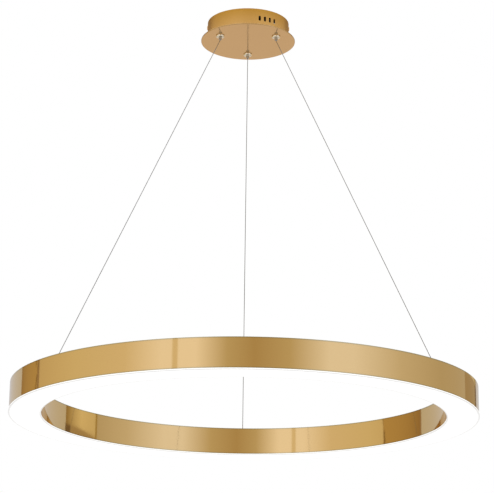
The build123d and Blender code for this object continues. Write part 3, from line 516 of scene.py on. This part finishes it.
NODE_LOOKS = {
    "ceiling_bracket": zinc,
    "side_screws": satin_gold,
    "plate_studs": zinc,
    "stud_nuts": zinc,
    "terminal_block": terminal_plastic,
    "terminal_clamps": brass,
    "terminal_screws": zinc,
    "earth_tag": zinc,
    "earth_nut": zinc,
    "driver_pad": foam,
    "driver_base": case_plastic,
    "driver_lid": case_plastic,
    "driver_board": board_green,
    "driver_transformer": ferrite,
    "driver_capacitors": sleeve_dark,
    "tail_sleeves": sleeve_clear,
    "gripper_caps": chrome,
    "gripper_nuts": zinc,
    "gripper_bushes": nylon,
    "gripper_washers": nylon,
    "band_splices": zinc,
    "top_plate": plate_gold,
    "plate_screws": zinc,
    "led_board": aluminium,
    "leds": phosphor,
    "wire_anchors": chrome,
    "anchor_bushes": nylon,
    "anchor_washers": nylon,
    "anchor_nuts": zinc,
    "wire_ends": chrome,
    "solder_tags": brass,
    "ring_leads": red,
    "canopy_plate": satin_gold,
    "canopy_drum": drum_gold,
}
for number in (1, 2, 3):
    NODE_LOOKS[f"grip_balls_{number}"] = zinc
    NODE_LOOKS[f"wire_tail_{number}"] = wire_steel


def dress(node, surface):
    """Gives a CAD node's slots a material."""
    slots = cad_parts[node].material_slots
    if not slots:
        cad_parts[node].data.materials.append(surface.material)
    for entry in slots:
        entry.material = surface.material


for node_name, surface in NODE_LOOKS.items():
    dress(node_name, surface)

# -------------------------------------------------------------- ring


def ring_tab(bm, normals, wall, inward, degrees):
    """An angle tab on a band's inside, under the top plate."""
    far = wall + inward * TAB_REACH
    foot = wall + inward * TAB_THICKNESS
    shelf_low = TOP_UNDER - TAB_THICKNESS
    corners = [
        (foot, TOP_UNDER - TAB_LEG, 0),
        (foot, shelf_low, 0),
        (far, shelf_low, 0),
        (far, TOP_UNDER, 0),
        (wall, TOP_UNDER, 0),
        (wall, TOP_UNDER - TAB_LEG, 0),
    ]
    area = sum(a[0] * b[1] - b[0] * a[1] for a, b in zip(corners, corners[1:] + corners[:1]))
    outline = rounded(corners if area > 0 else corners[::-1])
    spread = math.degrees(TAB_WIDTH / max(wall, far))
    revolve(bm, outline, TAB_STEPS, (0, 0), normals, degrees - spread / 2, spread)


def band(name, corners, wall, inward, seam, node):
    """A polished band with its ledge, tabs and seam."""
    bm = bmesh.new()
    normals = []
    half_gap = math.degrees(SEAM_GAP / 2 / max(corner[0] for corner in corners))
    start, sweep = seam + half_gap, 360 - 2 * half_gap
    revolve(bm, rounded(corners), RING_STEPS, (0, 0), normals, start, sweep)
    for number in range(TAB_COUNT):
        ring_tab(bm, normals, wall, inward, 360.0 * number / TAB_COUNT)
    piece(name, bm, normals, "ring", polished_gold, node)


OUTER_WALL = RING_RADIUS - BAND_WALL
INNER_WALL = INNER_RADIUS + BAND_WALL
OUTER_SEAM, INNER_SEAM = 90.0, 270.0

band(
    "outer_band_polished",
    [
        (OUTER_WALL, RING_LOW, BAND_ROUND),
        (RING_RADIUS, RING_LOW, BAND_ROUND),
        (RING_RADIUS, RING_HIGH, BAND_ROUND),
        (OUTER_WALL, RING_HIGH, BAND_ROUND),
        (OUTER_WALL, LEDGE_HIGH, 0),
        (OUTER_WALL - LEDGE_WIDTH, LEDGE_HIGH, 0),
        (OUTER_WALL - LEDGE_WIDTH, LEDGE_LOW, 0),
        (OUTER_WALL, LEDGE_LOW, 0),
    ],
    OUTER_WALL,
    -1,
    OUTER_SEAM,
    "outer_band",
)
band(
    "inner_band_polished",
    [
        (INNER_RADIUS, RING_LOW, BAND_ROUND),
        (INNER_WALL, RING_LOW, BAND_ROUND),
        (INNER_WALL, LEDGE_LOW, 0),
        (INNER_WALL + LEDGE_WIDTH, LEDGE_LOW, 0),
        (INNER_WALL + LEDGE_WIDTH, LEDGE_HIGH, 0),
        (INNER_WALL, LEDGE_HIGH, 0),
        (INNER_WALL, RING_HIGH, BAND_ROUND),
        (INNER_RADIUS, RING_HIGH, BAND_ROUND),
    ],
    INNER_WALL,
    1,
    INNER_SEAM,
    "inner_band",
)

OUTER_LIP = OUTER_WALL - LEDGE_WIDTH - LIP_GAP
INNER_LIP = INNER_WALL + LEDGE_WIDTH + LIP_GAP
HOOK_TOP = HOOK_LOW + HOOK_HEIGHT
HOOK_MIDDLE = HOOK_LOW + HOOK_HEIGHT * HOOK_NOSE
tray_outline = rounded(
    [
        (INNER_RADIUS - TRAY_OVERHANG, TRAY_LOW, TRAY_ROUND),
        (RING_RADIUS + TRAY_OVERHANG, TRAY_LOW, TRAY_ROUND),
        (RING_RADIUS + TRAY_OVERHANG, RING_LOW, 0),
        (OUTER_LIP, RING_LOW, 0),
        (OUTER_LIP, HOOK_LOW, 0),
        (OUTER_WALL - WALL_GAP, HOOK_LOW, 0),
        (OUTER_WALL - WALL_GAP, HOOK_MIDDLE, 0),
        (OUTER_LIP, HOOK_TOP, 0),
        (OUTER_LIP - LIP_THICKNESS, HOOK_TOP, 0),
        (OUTER_LIP - LIP_THICKNESS, RING_LOW, 0),
        (INNER_LIP + LIP_THICKNESS, RING_LOW, 0),
        (INNER_LIP + LIP_THICKNESS, HOOK_TOP, 0),
        (INNER_LIP, HOOK_TOP, 0),
        (INNER_WALL + WALL_GAP, HOOK_MIDDLE, 0),
        (INNER_WALL + WALL_GAP, HOOK_LOW, 0),
        (INNER_LIP, HOOK_LOW, 0),
        (INNER_LIP, RING_LOW, 0),
        (INNER_RADIUS - TRAY_OVERHANG, RING_LOW, 0),
    ]
)
turned(
    "diffuser_opal", tray_outline, "ring", opal, "diffuser", (0, 0), RING_STEPS
)

# ------------------------------------------------------------- grippers


def dome_outline():
    """The gripper's hollow barrel and its bulged foot, from the stem's hole upwards."""
    foot, rim = Vector((DOME_FOOT, DOME_LOW)), Vector((DOME_RADIUS, DOME_FACE))
    chord = rim - foot
    across = Vector((chord.y, -chord.x)).normalized()
    radius = (chord.length_squared / 4 + DOME_BULGE**2) / (2 * DOME_BULGE)
    centre = (foot + rim) / 2 - across * (radius - DOME_BULGE)
    first = foot - centre
    swing = first.angle_signed(rim - centre) * -1
    spokes = [
        Matrix.Rotation(swing * k / BULGE_STEPS, 2) @ first for k in range(BULGE_STEPS + 1)
    ]
    bulge = [
        (centre + a, centre + b, a.normalized(), b.normalized())
        for a, b in zip(spokes, spokes[1:])
    ]
    straight = [
        rim,
        Vector((BARREL_RADIUS, DOME_FACE)),
        Vector((BARREL_RADIUS, BARREL_TOP)),
        Vector((CONE_TOP, BARREL_TOP)),
        Vector((CONE_TOP, CAP_LOW)),
        Vector((CONE_LOW, BORE_LOW)),
        Vector((CONE_LOW, DOME_LOW)),
        foot,
    ]
    runs = []
    for here, there in zip(straight, straight[1:]):
        along = (there - here).normalized()
        normal = Vector((along.y, -along.x))
        runs.append((here, there, normal, normal))
    return bulge + runs


stem_outline = rounded(
    [
        (STEM_BORE, STEM_TIP, 0),
        (STEM_RADIUS, STEM_TIP, STEM_ROUND),
        (STEM_RADIUS, COLLAR_TOP - COLLAR_HEIGHT, 0),
        (COLLAR_RADIUS, COLLAR_TOP - COLLAR_HEIGHT, 0),
        (COLLAR_RADIUS, COLLAR_TOP, 0),
        (STEM_BORE, COLLAR_TOP, 0),
    ],
    STEM_EDGE_STEPS,
)

SPRING_STEPS = 30
SPRING_AROUND = 10


def spring_coil(centre):
    """A plunger's open coil spring."""
    low, high = SPRING_LOW + SPRING_WIRE, SPRING_HIGH - SPRING_WIRE
    count = SPRING_TURNS * SPRING_STEPS
    bm = bmesh.new()
    rings = []
    for step in range(count + 1):
        swing = 2 * math.pi * step / SPRING_STEPS
        outward = Vector((math.cos(swing), math.sin(swing), 0))
        middle = Vector((*centre, low + (high - low) * step / count)) + outward * SPRING_RADIUS
        ring = []
        for k in range(SPRING_AROUND):
            turn = 2 * math.pi * k / SPRING_AROUND
            reach = outward * math.cos(turn) + Vector((0, 0, math.sin(turn)))
            ring.append(bm.verts.new(middle + reach * SPRING_WIRE))
        rings.append(ring)
    skin(bm, rings)
    return bm


grippers = [at_angle(GRIPPER_CIRCLE, angle) for angle in WIRE_ANGLES]
anchors = [at_angle(ANCHOR_CIRCLE, angle) for angle in WIRE_ANGLES]
for number, place in enumerate(grippers, 1):
    plunger = f"plunger_{number}"
    turned(
        f"gripper_dome_{number}", dome_outline(), "canopy", champagne,
        f"gripper_body_{number}", place, DOME_STEPS,
    )
    turned(
        f"plunger_stem_{number}", stem_outline, plunger, nickel,
        f"gripper_plunger_{number}", place, STEM_STEPS,
    )
    spring = piece(
        f"spring_coil_{number}", spring_coil(place), None, plunger, zinc,
        f"gripper_spring_{number}",
    )
    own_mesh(spring)

# ----------------------------------------------------------------- wires

STRANDS = 6
STRAND_DEPTH = 0.045 * MM
STRAND_PITCH = 8 * MM
WIRE_STEP = 1 * MM
WIRE_AROUND = 18
WIRE_RESOLUTION = 12


def route_curve(name, points, resolution):
    """One smooth line along a route's control points."""
    curve = bpy.data.curves.new(name, "CURVE")
    curve.dimensions = "3D"
    curve.resolution_u = resolution
    spline = curve.splines.new("NURBS")
    spline.points.add(len(points) - 1)
    for point, place in zip(spline.points, points):
        point.co = (*place, 1)
    spline.order_u = 3
    spline.use_endpoint_u = True
    return curve


def read_path(name, points):
    """The points that a route's smooth line goes through."""
    curve = route_curve(name, points, WIRE_RESOLUTION)
    carrier = bpy.data.objects.new(name, curve)
    bpy.context.scene.collection.objects.link(carrier)
    bpy.context.view_layer.update()
    evaluated = carrier.evaluated_get(bpy.context.evaluated_depsgraph_get())
    mesh = bpy.data.meshes.new_from_object(evaluated)
    path = [vertex.co.copy() for vertex in mesh.vertices]
    bpy.data.objects.remove(carrier)
    bpy.data.curves.remove(curve)
    bpy.data.meshes.remove(mesh)
    return path


def laid_wire(name, start, end):
    """A straight stranded wire: six lobes that twist along it."""
    path = read_path(name + "_line", [start, (start + end) / 2, end])
    along = (end - start).normalized()
    side = along.orthogonal().normalized()
    other = along.cross(side)
    length = (end - start).length
    count = round(length / WIRE_STEP)
    bm = bmesh.new()
    rings = []
    for step in range(count + 1):
        centre = start + along * length * step / count
        twist = 2 * math.pi * length * step / count / STRAND_PITCH
        ring = []
        for k in range(WIRE_AROUND):
            swing = 2 * math.pi * k / WIRE_AROUND
            lobe = abs(math.cos(STRANDS / 2 * (swing - twist)))
            reach = WIRE_RADIUS - STRAND_DEPTH * (1 - lobe)
            outward = side * math.cos(swing) + other * math.sin(swing)
            ring.append(bm.verts.new(centre + outward * reach))
        rings.append(ring)
    skin(bm, rings)
    return bm, path


for number, ((gx, gy), (ax, ay)) in enumerate(zip(grippers, anchors), 1):
    start = Vector((gx, gy, WIRE_EXIT))
    end = Vector((ax, ay, WIRE_FOOT))
    along = (end - start).normalized()
    start = start + along * WIRE_RADIUS
    end = end - along * WIRE_END_GAP
    bm, path = laid_wire(f"wire_{number}", start, end)
    wire = piece(
        f"wire_{number}", bm, None, "canopy", wire_steel,
        f"suspension_wire_{number}",
    )
    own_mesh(wire)

# ----------------------------------------------------------------- leads

LEAD_RADIUS = 0.9 * MM
LEAD_RESOLUTION = 10
LEAD_BEVEL = 4

# Each lead's node, look, slot, length and route, in millimetres
LEADS = (
    (
        "live_lead", brown, "brown_insulation", 99,
        [(-10, -39.5, -27), (-10, -26.5, -27), (-27, -14, -26), (-46, -9, -26),
         (-61.5, -3, -24), (-63, 10, -23), (-51, 10, -23), (-42, 10, -23)],
    ),
    (
        "neutral_lead", blue, "blue_insulation", 123,
        [(0, -39.5, -27), (0, -19.5, -26), (-22, -9, -21), (-50, -6, -19),
         (-66, 6, -20), (-66, 22, -23), (-42, 22, -23)],
    ),
    (
        "earth_lead", green_yellow, "green_yellow_insulation", 37,
        [(10, -39.5, -27), (10, -28.5, -27), (19, -26.5, -28), (27.5, -29.5, -30),
         (30, -35, -31.6), (30, -39, -31.6)],
    ),
    (
        "negative_lead", black, "black_insulation", 135,
        [(-33.73, -29, -11), (-18.23, -29, -11), (2, -25, -13), (28, -16, -18),
         (52, -10, -19), (65, -1.5, -22), (64.5, 10, -23), (53.5, 10, -23), (42, 10, -23)],
    ),
    (
        "positive_lead", red, "red_insulation", 63,
        [(50.23, -12.5, -11), (50.23, 0, -11), (57.5, 7.5, -14), (64.8, 12, -18),
         (64.8, 22.5, -23), (54, 22, -23), (42, 22, -23)],
    ),
)


def lead(node, surface, slot, length, route):
    """An insulated lead inside the canopy, round its route's corners in one smooth line."""
    points = [[axis * MM for axis in place] for place in route]
    curve = route_curve(f"{node}_cord", points, LEAD_RESOLUTION)
    curve.bevel_depth = LEAD_RADIUS
    curve.bevel_resolution = LEAD_BEVEL
    curve.use_fill_caps = True
    made = bpy.data.objects.new(f"{node}_cord", curve)
    bpy.context.scene.collection.objects.link(made)
    curve.materials.append(surface.material)
    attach(made, "canopy")
    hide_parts(node)


for row in LEADS:
    lead(*row)

# ------------------------------------------------------------------ stage

ACROSS = "across"


def emission(name, first_colour, last_colour):
    """A card's glow, which runs from one colour to the other across its width."""
    material = bpy.data.materials.new(name)
    material.use_nodes = True
    tree = material.node_tree
    tree.nodes.clear()
    output = tree.nodes.new("ShaderNodeOutputMaterial")
    glow = tree.nodes.new("ShaderNodeEmission")
    mix = tree.nodes.new("ShaderNodeMix")
    mix.data_type = "RGBA"
    mix.inputs[MIX_A].default_value = (*first_colour, 1)
    mix.inputs[MIX_B].default_value = (*last_colour, 1)
    across = tree.nodes.new("ShaderNodeUVMap")
    across.uv_map = ACROSS
    split = tree.nodes.new("ShaderNodeSeparateXYZ")
    tree.links.new(across.outputs["UV"], split.inputs["Vector"])
    tree.links.new(split.outputs["X"], mix.inputs[MIX_SHARE])
    tree.links.new(mix.outputs[MIX_RESULT], glow.inputs["Color"])
    tree.links.new(glow.outputs["Emission"], output.inputs["Surface"])
    return material


def stage_card(name, columns, first_colour, last_colour):
    """A glowing card that only reflections see, through columns of (low, high, share)."""
    mesh = bpy.data.meshes.new(name)
    bm = bmesh.new()
    layer = bm.loops.layers.uv.new(ACROSS)
    verts = [(bm.verts.new(low), bm.verts.new(high)) for low, high, _ in columns]
    shares = [column[2] for column in columns]
    for k in range(len(columns) - 1):
        (low, high), (next_low, next_high) = verts[k : k + 2]
        face = bm.faces.new((low, next_low, next_high, high))
        for loop, share in zip(face.loops, (shares[k], shares[k + 1], shares[k + 1], shares[k])):
            loop[layer].uv = (share, 0.5)
    bm.to_mesh(mesh)
    bm.free()
    mesh.materials.append(emission(name, first_colour, last_colour))
    card = bpy.data.objects.new(name, mesh)
    bpy.context.scene.collection.objects.link(card)
    card.visible_camera = False
    card.visible_diffuse = False
    card.visible_shadow = False
    card.visible_transmission = False


CARD_STEP = 3.0


def curved_card(name, first, last, first_colour, last_colour, radius, low, high):
    """A card on a circle about the part. Angles run from -Y towards +X."""
    count = max(2, round((last - first) / CARD_STEP))
    columns = []
    for k in range(count + 1):
        share = k / count
        swing = math.radians(first + (last - first) * share)
        x, y = radius * math.sin(swing), -radius * math.cos(swing)
        columns.append(((x, y, low), (x, y, high), share))
    stage_card(name, columns, first_colour, last_colour)


# The studio round the part, and the plain tones of its cards
WALL_RADIUS = 4.2
WALL_FOOT, WALL_MIDDLE, WALL_TOP = -2.4, 0.9, 3.2
PALE = (0.65, 0.65, 0.70)
STONE = (0.60, 0.60, 0.60)
WALNUT = (0.35, 0.25, 0.15)
OAK = (0.65, 0.55, 0.35)
LINEN = (0.75, 0.68, 0.50)
CREAM = (0.80, 0.73, 0.60)
BRIGHT = (1.00, 1.00, 1.10)
DAYLIGHT = (0.92, 0.95, 1.10)
HONEY = (0.60, 0.53, 0.38)
AMBER = (0.50, 0.40, 0.24)
SAND = (0.55, 0.50, 0.40)
SHELL = (0.68, 0.65, 0.60)
UPPER_SIDE = (0.60, 0.56, 0.48)
UPPER_DARK = (0.32, 0.26, 0.18)
BACKING = (0.66, 0.575, 0.50)

# The studio's walls: two bright softboxes in front, left and right, warm walls beside
# and between them, and a pale wall behind.
LOWER_CARDS = (
    ("wall_back_left", -180, -131.5, PALE, STONE),
    ("wall_behind_panel", -131.5, -112, WALNUT, WALNUT),
    ("wall_left", -112, -84, OAK, LINEN),
    ("wall_left_front", -84, -56, LINEN, CREAM),
    ("softbox_left_fall", -56, -38, CREAM, BRIGHT),
    ("softbox_left", -38, -22, BRIGHT, BRIGHT),
    ("softbox_left_inside", -22, -8, BRIGHT, HONEY),
    ("wall_front_left", -8, 4, HONEY, AMBER),
    ("wall_front_right", 4, 20, AMBER, HONEY),
    ("softbox_right_inside", 20, 38, HONEY, DAYLIGHT),
    ("softbox_right", 38, 50, DAYLIGHT, DAYLIGHT),
    ("softbox_right_fall", 50, 76, DAYLIGHT, SHELL),
    ("wall_right", 76, 104, SHELL, SAND),
    ("wall_right_back", 104, 131.5, SAND, SAND),
    ("wall_back_right", 131.5, 180, STONE, PALE),
)
UPPER_CARDS = (
    ("upper_back_left", -180, -125, UPPER_DARK, UPPER_DARK),
    ("upper_left", -125, -60, UPPER_SIDE, SHELL),
    ("upper_front", -60, 60, SHELL, SHELL),
    ("upper_right", 60, 125, SHELL, UPPER_SIDE),
    ("upper_back_right", 125, 180, UPPER_DARK, UPPER_DARK),
)
for row in LOWER_CARDS:
    curved_card(*row, WALL_RADIUS, WALL_FOOT, WALL_MIDDLE)
for row in UPPER_CARDS:
    curved_card(*row, WALL_RADIUS, WALL_MIDDLE, WALL_TOP)

# A strip of the left softbox's frame, and a low board at the back, stand before the walls.
FRAME_SPAN, FRAME_RADIUS = (-32.8, -30.3), 4.15
BOARD_SPAN, BOARD_RADIUS, BOARD_TOP = (150, 210), 4.0, -1.2
curved_card("softbox_frame", *FRAME_SPAN, CREAM, CREAM, FRAME_RADIUS, WALL_FOOT, WALL_MIDDLE)
curved_card("low_back", *BOARD_SPAN, BACKING, BACKING, BOARD_RADIUS, WALL_FOOT, BOARD_TOP)


def flat_card(name, first_side, last_side, first_colour, last_colour):
    """A flat card between two sides, each given by its low and its high corner."""
    columns = [(*first_side, 0), (*last_side, 1)]
    stage_card(name, columns, first_colour, last_colour)


# Two panels stand beside the ring. Each has a lower part, which the ring's outside
# reflects, and an upper part, which its inside reflects, and they meet along a slope.
# A panel is its two ends, and the heights of the slope and of the top at each end.
PANEL_LOW = -1.3
RIGHT_PANEL = ((0.911, 0.357), (0.95, 1.08), (-0.51, -0.415), (0.10, 0.10))
LEFT_PANEL = ((-1.226, 0.267), (-2.6, 2.25), (-0.453, -0.453), (0.0, 0.35))
BRONZE = (0.42, 0.33, 0.20)
UMBER = (0.20, 0.14, 0.08)
OCHRE = (0.40, 0.30, 0.10)
STRAW = (0.70, 0.62, 0.42)
WHEAT = (0.78, 0.70, 0.47)
RUSSET = (0.32, 0.22, 0.07)
COPPER = (0.52, 0.38, 0.17)
CHESTNUT = (0.34, 0.22, 0.09)
UPPER, LOWER = True, False
PANEL_PARTS = (
    ("right_low", RIGHT_PANEL, LOWER, 0.0, 0.8, BRONZE, BRONZE),
    ("right_low_end", RIGHT_PANEL, LOWER, 0.8, 1.06, UMBER, UMBER),
    ("right_edge", RIGHT_PANEL, UPPER, 0.0, 0.035, OCHRE, OCHRE),
    ("right_high", RIGHT_PANEL, UPPER, 0.035, 0.40, STRAW, WHEAT),
    ("right_high_fall", RIGHT_PANEL, UPPER, 0.40, 1.03, WHEAT, RUSSET),
    ("left", LEFT_PANEL, UPPER, 0.0, 1.0, COPPER, CHESTNUT),
    ("left_foot", LEFT_PANEL, LOWER, 0.0, 1.0, COPPER, CHESTNUT),
)


def panel_part(name, panel, upper, first, last, first_colour, last_colour):
    """The part of a panel between two shares of its width, above or below its slope."""
    start, end, slope, tops = panel
    sides = []
    for share in (first, last):
        x, y = (a + (b - a) * share for a, b in zip(start, end))
        middle = slope[0] + (slope[1] - slope[0]) * share
        top = tops[0] + (tops[1] - tops[0]) * share
        heights = (middle, top) if upper else (PANEL_LOW, middle)
        sides.append([(x, y, height) for height in heights])
    flat_card(f"panel_{name}", *sides, first_colour, last_colour)


for row in PANEL_PARTS:
    panel_part(*row)

# A thin dark bar in two halves leans at the left panel's near edge. The lower half lies
# a little further in, so that the ring's two sides both show it at the panel's edge.
BAR_ACROSS = Vector((-0.013, 0.026, 0))
BAR_COLOUR = (0.20, 0.13, 0.05)
BAR_PARTS = (
    ("bar_low", (-1.188, 0.285, -0.545), (-1.246, 0.258, -0.453)),
    ("bar_high", (-1.200, 0.279, -0.466), (-1.266, 0.249, -0.360)),
)
for name, *near_side in BAR_PARTS:
    far_side = [Vector(corner) + BAR_ACROSS for corner in near_side]
    flat_card(name, near_side, far_side, BAR_COLOUR, BAR_COLOUR)

# A dark cloth is held under the canopy, for the grippers' undersides.
CLOTH_REACH, CLOTH_HEIGHT = 0.22, -0.5
CLOTH_COLOUR = (0.14, 0.12, 0.10)
cloth_ends = (-CLOTH_REACH, CLOTH_REACH)
cloth_sides = [[(x, y, CLOTH_HEIGHT) for y in cloth_ends] for x in cloth_ends]
flat_card("cloth_under_canopy", *cloth_sides, CLOTH_COLOUR, CLOTH_COLOUR)

FLOOR_DROP, FLOOR_SIZE = 2.45, 40
FLOOR_COLOUR, FLOOR_ROUGHNESS = (0.86, 0.86, 0.86), 0.9
# The ceiling patch is painted shade: near black, it stands for the shade inside the drum
CEILING_PATCH = 72.3 * MM
CEILING_DROP = 0.3 * MM
CEILING_SHADE_COLOUR, CEILING_ROUGHNESS = (0.01, 0.01, 0.01), 1.0
CEILING_STEPS = 96


def clear_behind(tree, surface, hidden):
    """Shows a surface only where hidden, a 0 to 1 value, is 0."""
    clear = tree.nodes.new("ShaderNodeBsdfTransparent")
    mix = tree.nodes.new("ShaderNodeMixShader")
    tree.links.new(hidden, mix.inputs[0])
    tree.links.new(surface, mix.inputs[1])
    tree.links.new(clear.outputs["BSDF"], mix.inputs[2])
    output = next(node for node in tree.nodes if node.type == "OUTPUT_MATERIAL")
    tree.links.new(mix.outputs["Shader"], output.inputs["Surface"])


def plain_material(name, colour, roughness):
    """A plain material, its tree and its shader's output, for the stage."""
    material = bpy.data.materials.new(name)
    material.use_nodes = True
    tree = material.node_tree
    shader = tree.nodes["Principled BSDF"]
    shader.inputs["Base Color"].default_value = (*colour, 1)
    shader.inputs["Roughness"].default_value = roughness
    return material, tree, shader.outputs["BSDF"]


def pale_floor():
    """A pale floor, clear when it is looked at from below."""
    material, tree, surface = plain_material("floor_pale", FLOOR_COLOUR, FLOOR_ROUGHNESS)
    side = tree.nodes.new("ShaderNodeNewGeometry")
    clear_behind(tree, surface, side.outputs["Backfacing"])
    bpy.ops.mesh.primitive_plane_add(size=FLOOR_SIZE, location=(0, 0, -FLOOR_DROP))
    floor = bpy.context.object
    floor.name = "floor"
    floor.data.materials.append(material)


def ceiling_patch():
    """The bit of ceiling over the drum, a painted shade for the drum's dark inside: dark when it
    is seen from below, else clear.
    """
    material, tree, surface = plain_material("ceiling_painted_shade", CEILING_SHADE_COLOUR, CEILING_ROUGHNESS)
    side = tree.nodes.new("ShaderNodeNewGeometry")
    path = tree.nodes.new("ShaderNodeLightPath")
    unseen = tree.nodes.new("ShaderNodeMath")
    unseen.operation = "SUBTRACT"
    unseen.inputs[0].default_value = 1.0
    tree.links.new(path.outputs["Is Camera Ray"], unseen.inputs[1])
    hidden = tree.nodes.new("ShaderNodeMath")
    hidden.operation = "MAXIMUM"
    tree.links.new(side.outputs["Backfacing"], hidden.inputs[0])
    tree.links.new(unseen.outputs["Value"], hidden.inputs[1])
    clear_behind(tree, surface, hidden.outputs["Value"])
    mesh = bpy.data.meshes.new("ceiling_patch")
    bm = bmesh.new()
    bmesh.ops.create_circle(bm, cap_ends=True, segments=CEILING_STEPS, radius=CEILING_PATCH)
    for vert in bm.verts:
        vert.co.z = -CEILING_DROP
    for face in bm.faces:
        if face.normal.z > 0:
            face.normal_flip()
    bm.to_mesh(mesh)
    bm.free()
    patch = bpy.data.objects.new("ceiling_patch", mesh)
    bpy.context.scene.collection.objects.link(patch)
    mesh.materials.append(material)


pale_floor()
ceiling_patch()

AMBIENT = 0.62


def white_world():
    """White to the camera, in reflections and through glass, and a plain soft grey as light."""
    world = bpy.data.worlds.new("studio")
    bpy.context.scene.world = world
    world.use_nodes = True
    tree = world.node_tree
    background = tree.nodes["Background"]
    background.inputs["Color"].default_value = (1, 1, 1, 1)
    path = tree.nodes.new("ShaderNodeLightPath")
    seen = tree.nodes.new("ShaderNodeMath")
    seen.operation = "MAXIMUM"
    tree.links.new(path.outputs["Is Camera Ray"], seen.inputs[0])
    tree.links.new(path.outputs["Is Glossy Ray"], seen.inputs[1])
    clear = tree.nodes.new("ShaderNodeMath")
    clear.operation = "MAXIMUM"
    tree.links.new(seen.outputs[0], clear.inputs[0])
    tree.links.new(path.outputs["Is Transmission Ray"], clear.inputs[1])
    level = tree.nodes.new("ShaderNodeMapRange")
    level.inputs["To Min"].default_value = AMBIENT
    level.inputs["To Max"].default_value = 1.0
    tree.links.new(clear.outputs[0], level.inputs["Value"])
    tree.links.new(level.outputs["Result"], background.inputs["Strength"])


white_world()

# Each lamp's name, place, size in metres and power in watts
LAMPS = (
    ("key_light", (-1.8, -2.2, 1.6), 1.6, 26),
    ("fill_light", (2.4, -1.2, 0.6), 2.0, 12),
)
LAMP_TARGET = Vector((0, 0, -0.4))


def area_light(name, place, size, power):
    """A soft round lamp that points at the middle of the part."""
    light = bpy.data.lights.new(name, "AREA")
    light.shape = "DISK"
    light.size = size
    light.energy = power
    lamp = bpy.data.objects.new(name, light)
    bpy.context.scene.collection.objects.link(lamp)
    lamp.location = place
    lamp.rotation_euler = (LAMP_TARGET - Vector(place)).to_track_quat("-Z", "Y").to_euler()
    lamp.visible_glossy = False


for lamp_row in LAMPS:
    area_light(*lamp_row)

# ----------------------------------------------------------------- camera

PHOTO_WIDTH = 494
FOCAL_PIXELS = 1881.1
SENSOR = 36.0
VIEW_END = 60
CAMERA_PLACE = (-0.0185, -3.1747, -1.3458)
PITCH, YAW, ROLL = 0.28342, 0.00651, 0.01092


def photo_camera():
    """The photograph's camera. Its pitch, yaw and roll are in radians."""
    data = bpy.data.cameras.new("photo_camera")
    data.sensor_fit = "HORIZONTAL"
    data.sensor_width = SENSOR
    data.lens = FOCAL_PIXELS / PHOTO_WIDTH * SENSOR
    data.clip_end = VIEW_END
    camera = bpy.data.objects.new("photo_camera", data)
    bpy.context.scene.collection.objects.link(camera)
    forward = Vector(
        (math.sin(YAW) * math.cos(PITCH), math.cos(YAW) * math.cos(PITCH), math.sin(PITCH))
    )
    right = Vector((math.cos(YAW), -math.sin(YAW), 0))
    up = right.cross(forward)
    rolled_right = math.cos(ROLL) * right + math.sin(ROLL) * up
    rolled_up = math.cos(ROLL) * up - math.sin(ROLL) * right
    turn = Matrix((rolled_right, rolled_up, -forward)).transposed()
    camera.matrix_world = Matrix.Translation(CAMERA_PLACE) @ turn.to_4x4()
    bpy.context.scene.camera = camera


photo_camera()
bpy.context.scene.view_settings.view_transform = "Standard"

bpy.context.view_layer.update()
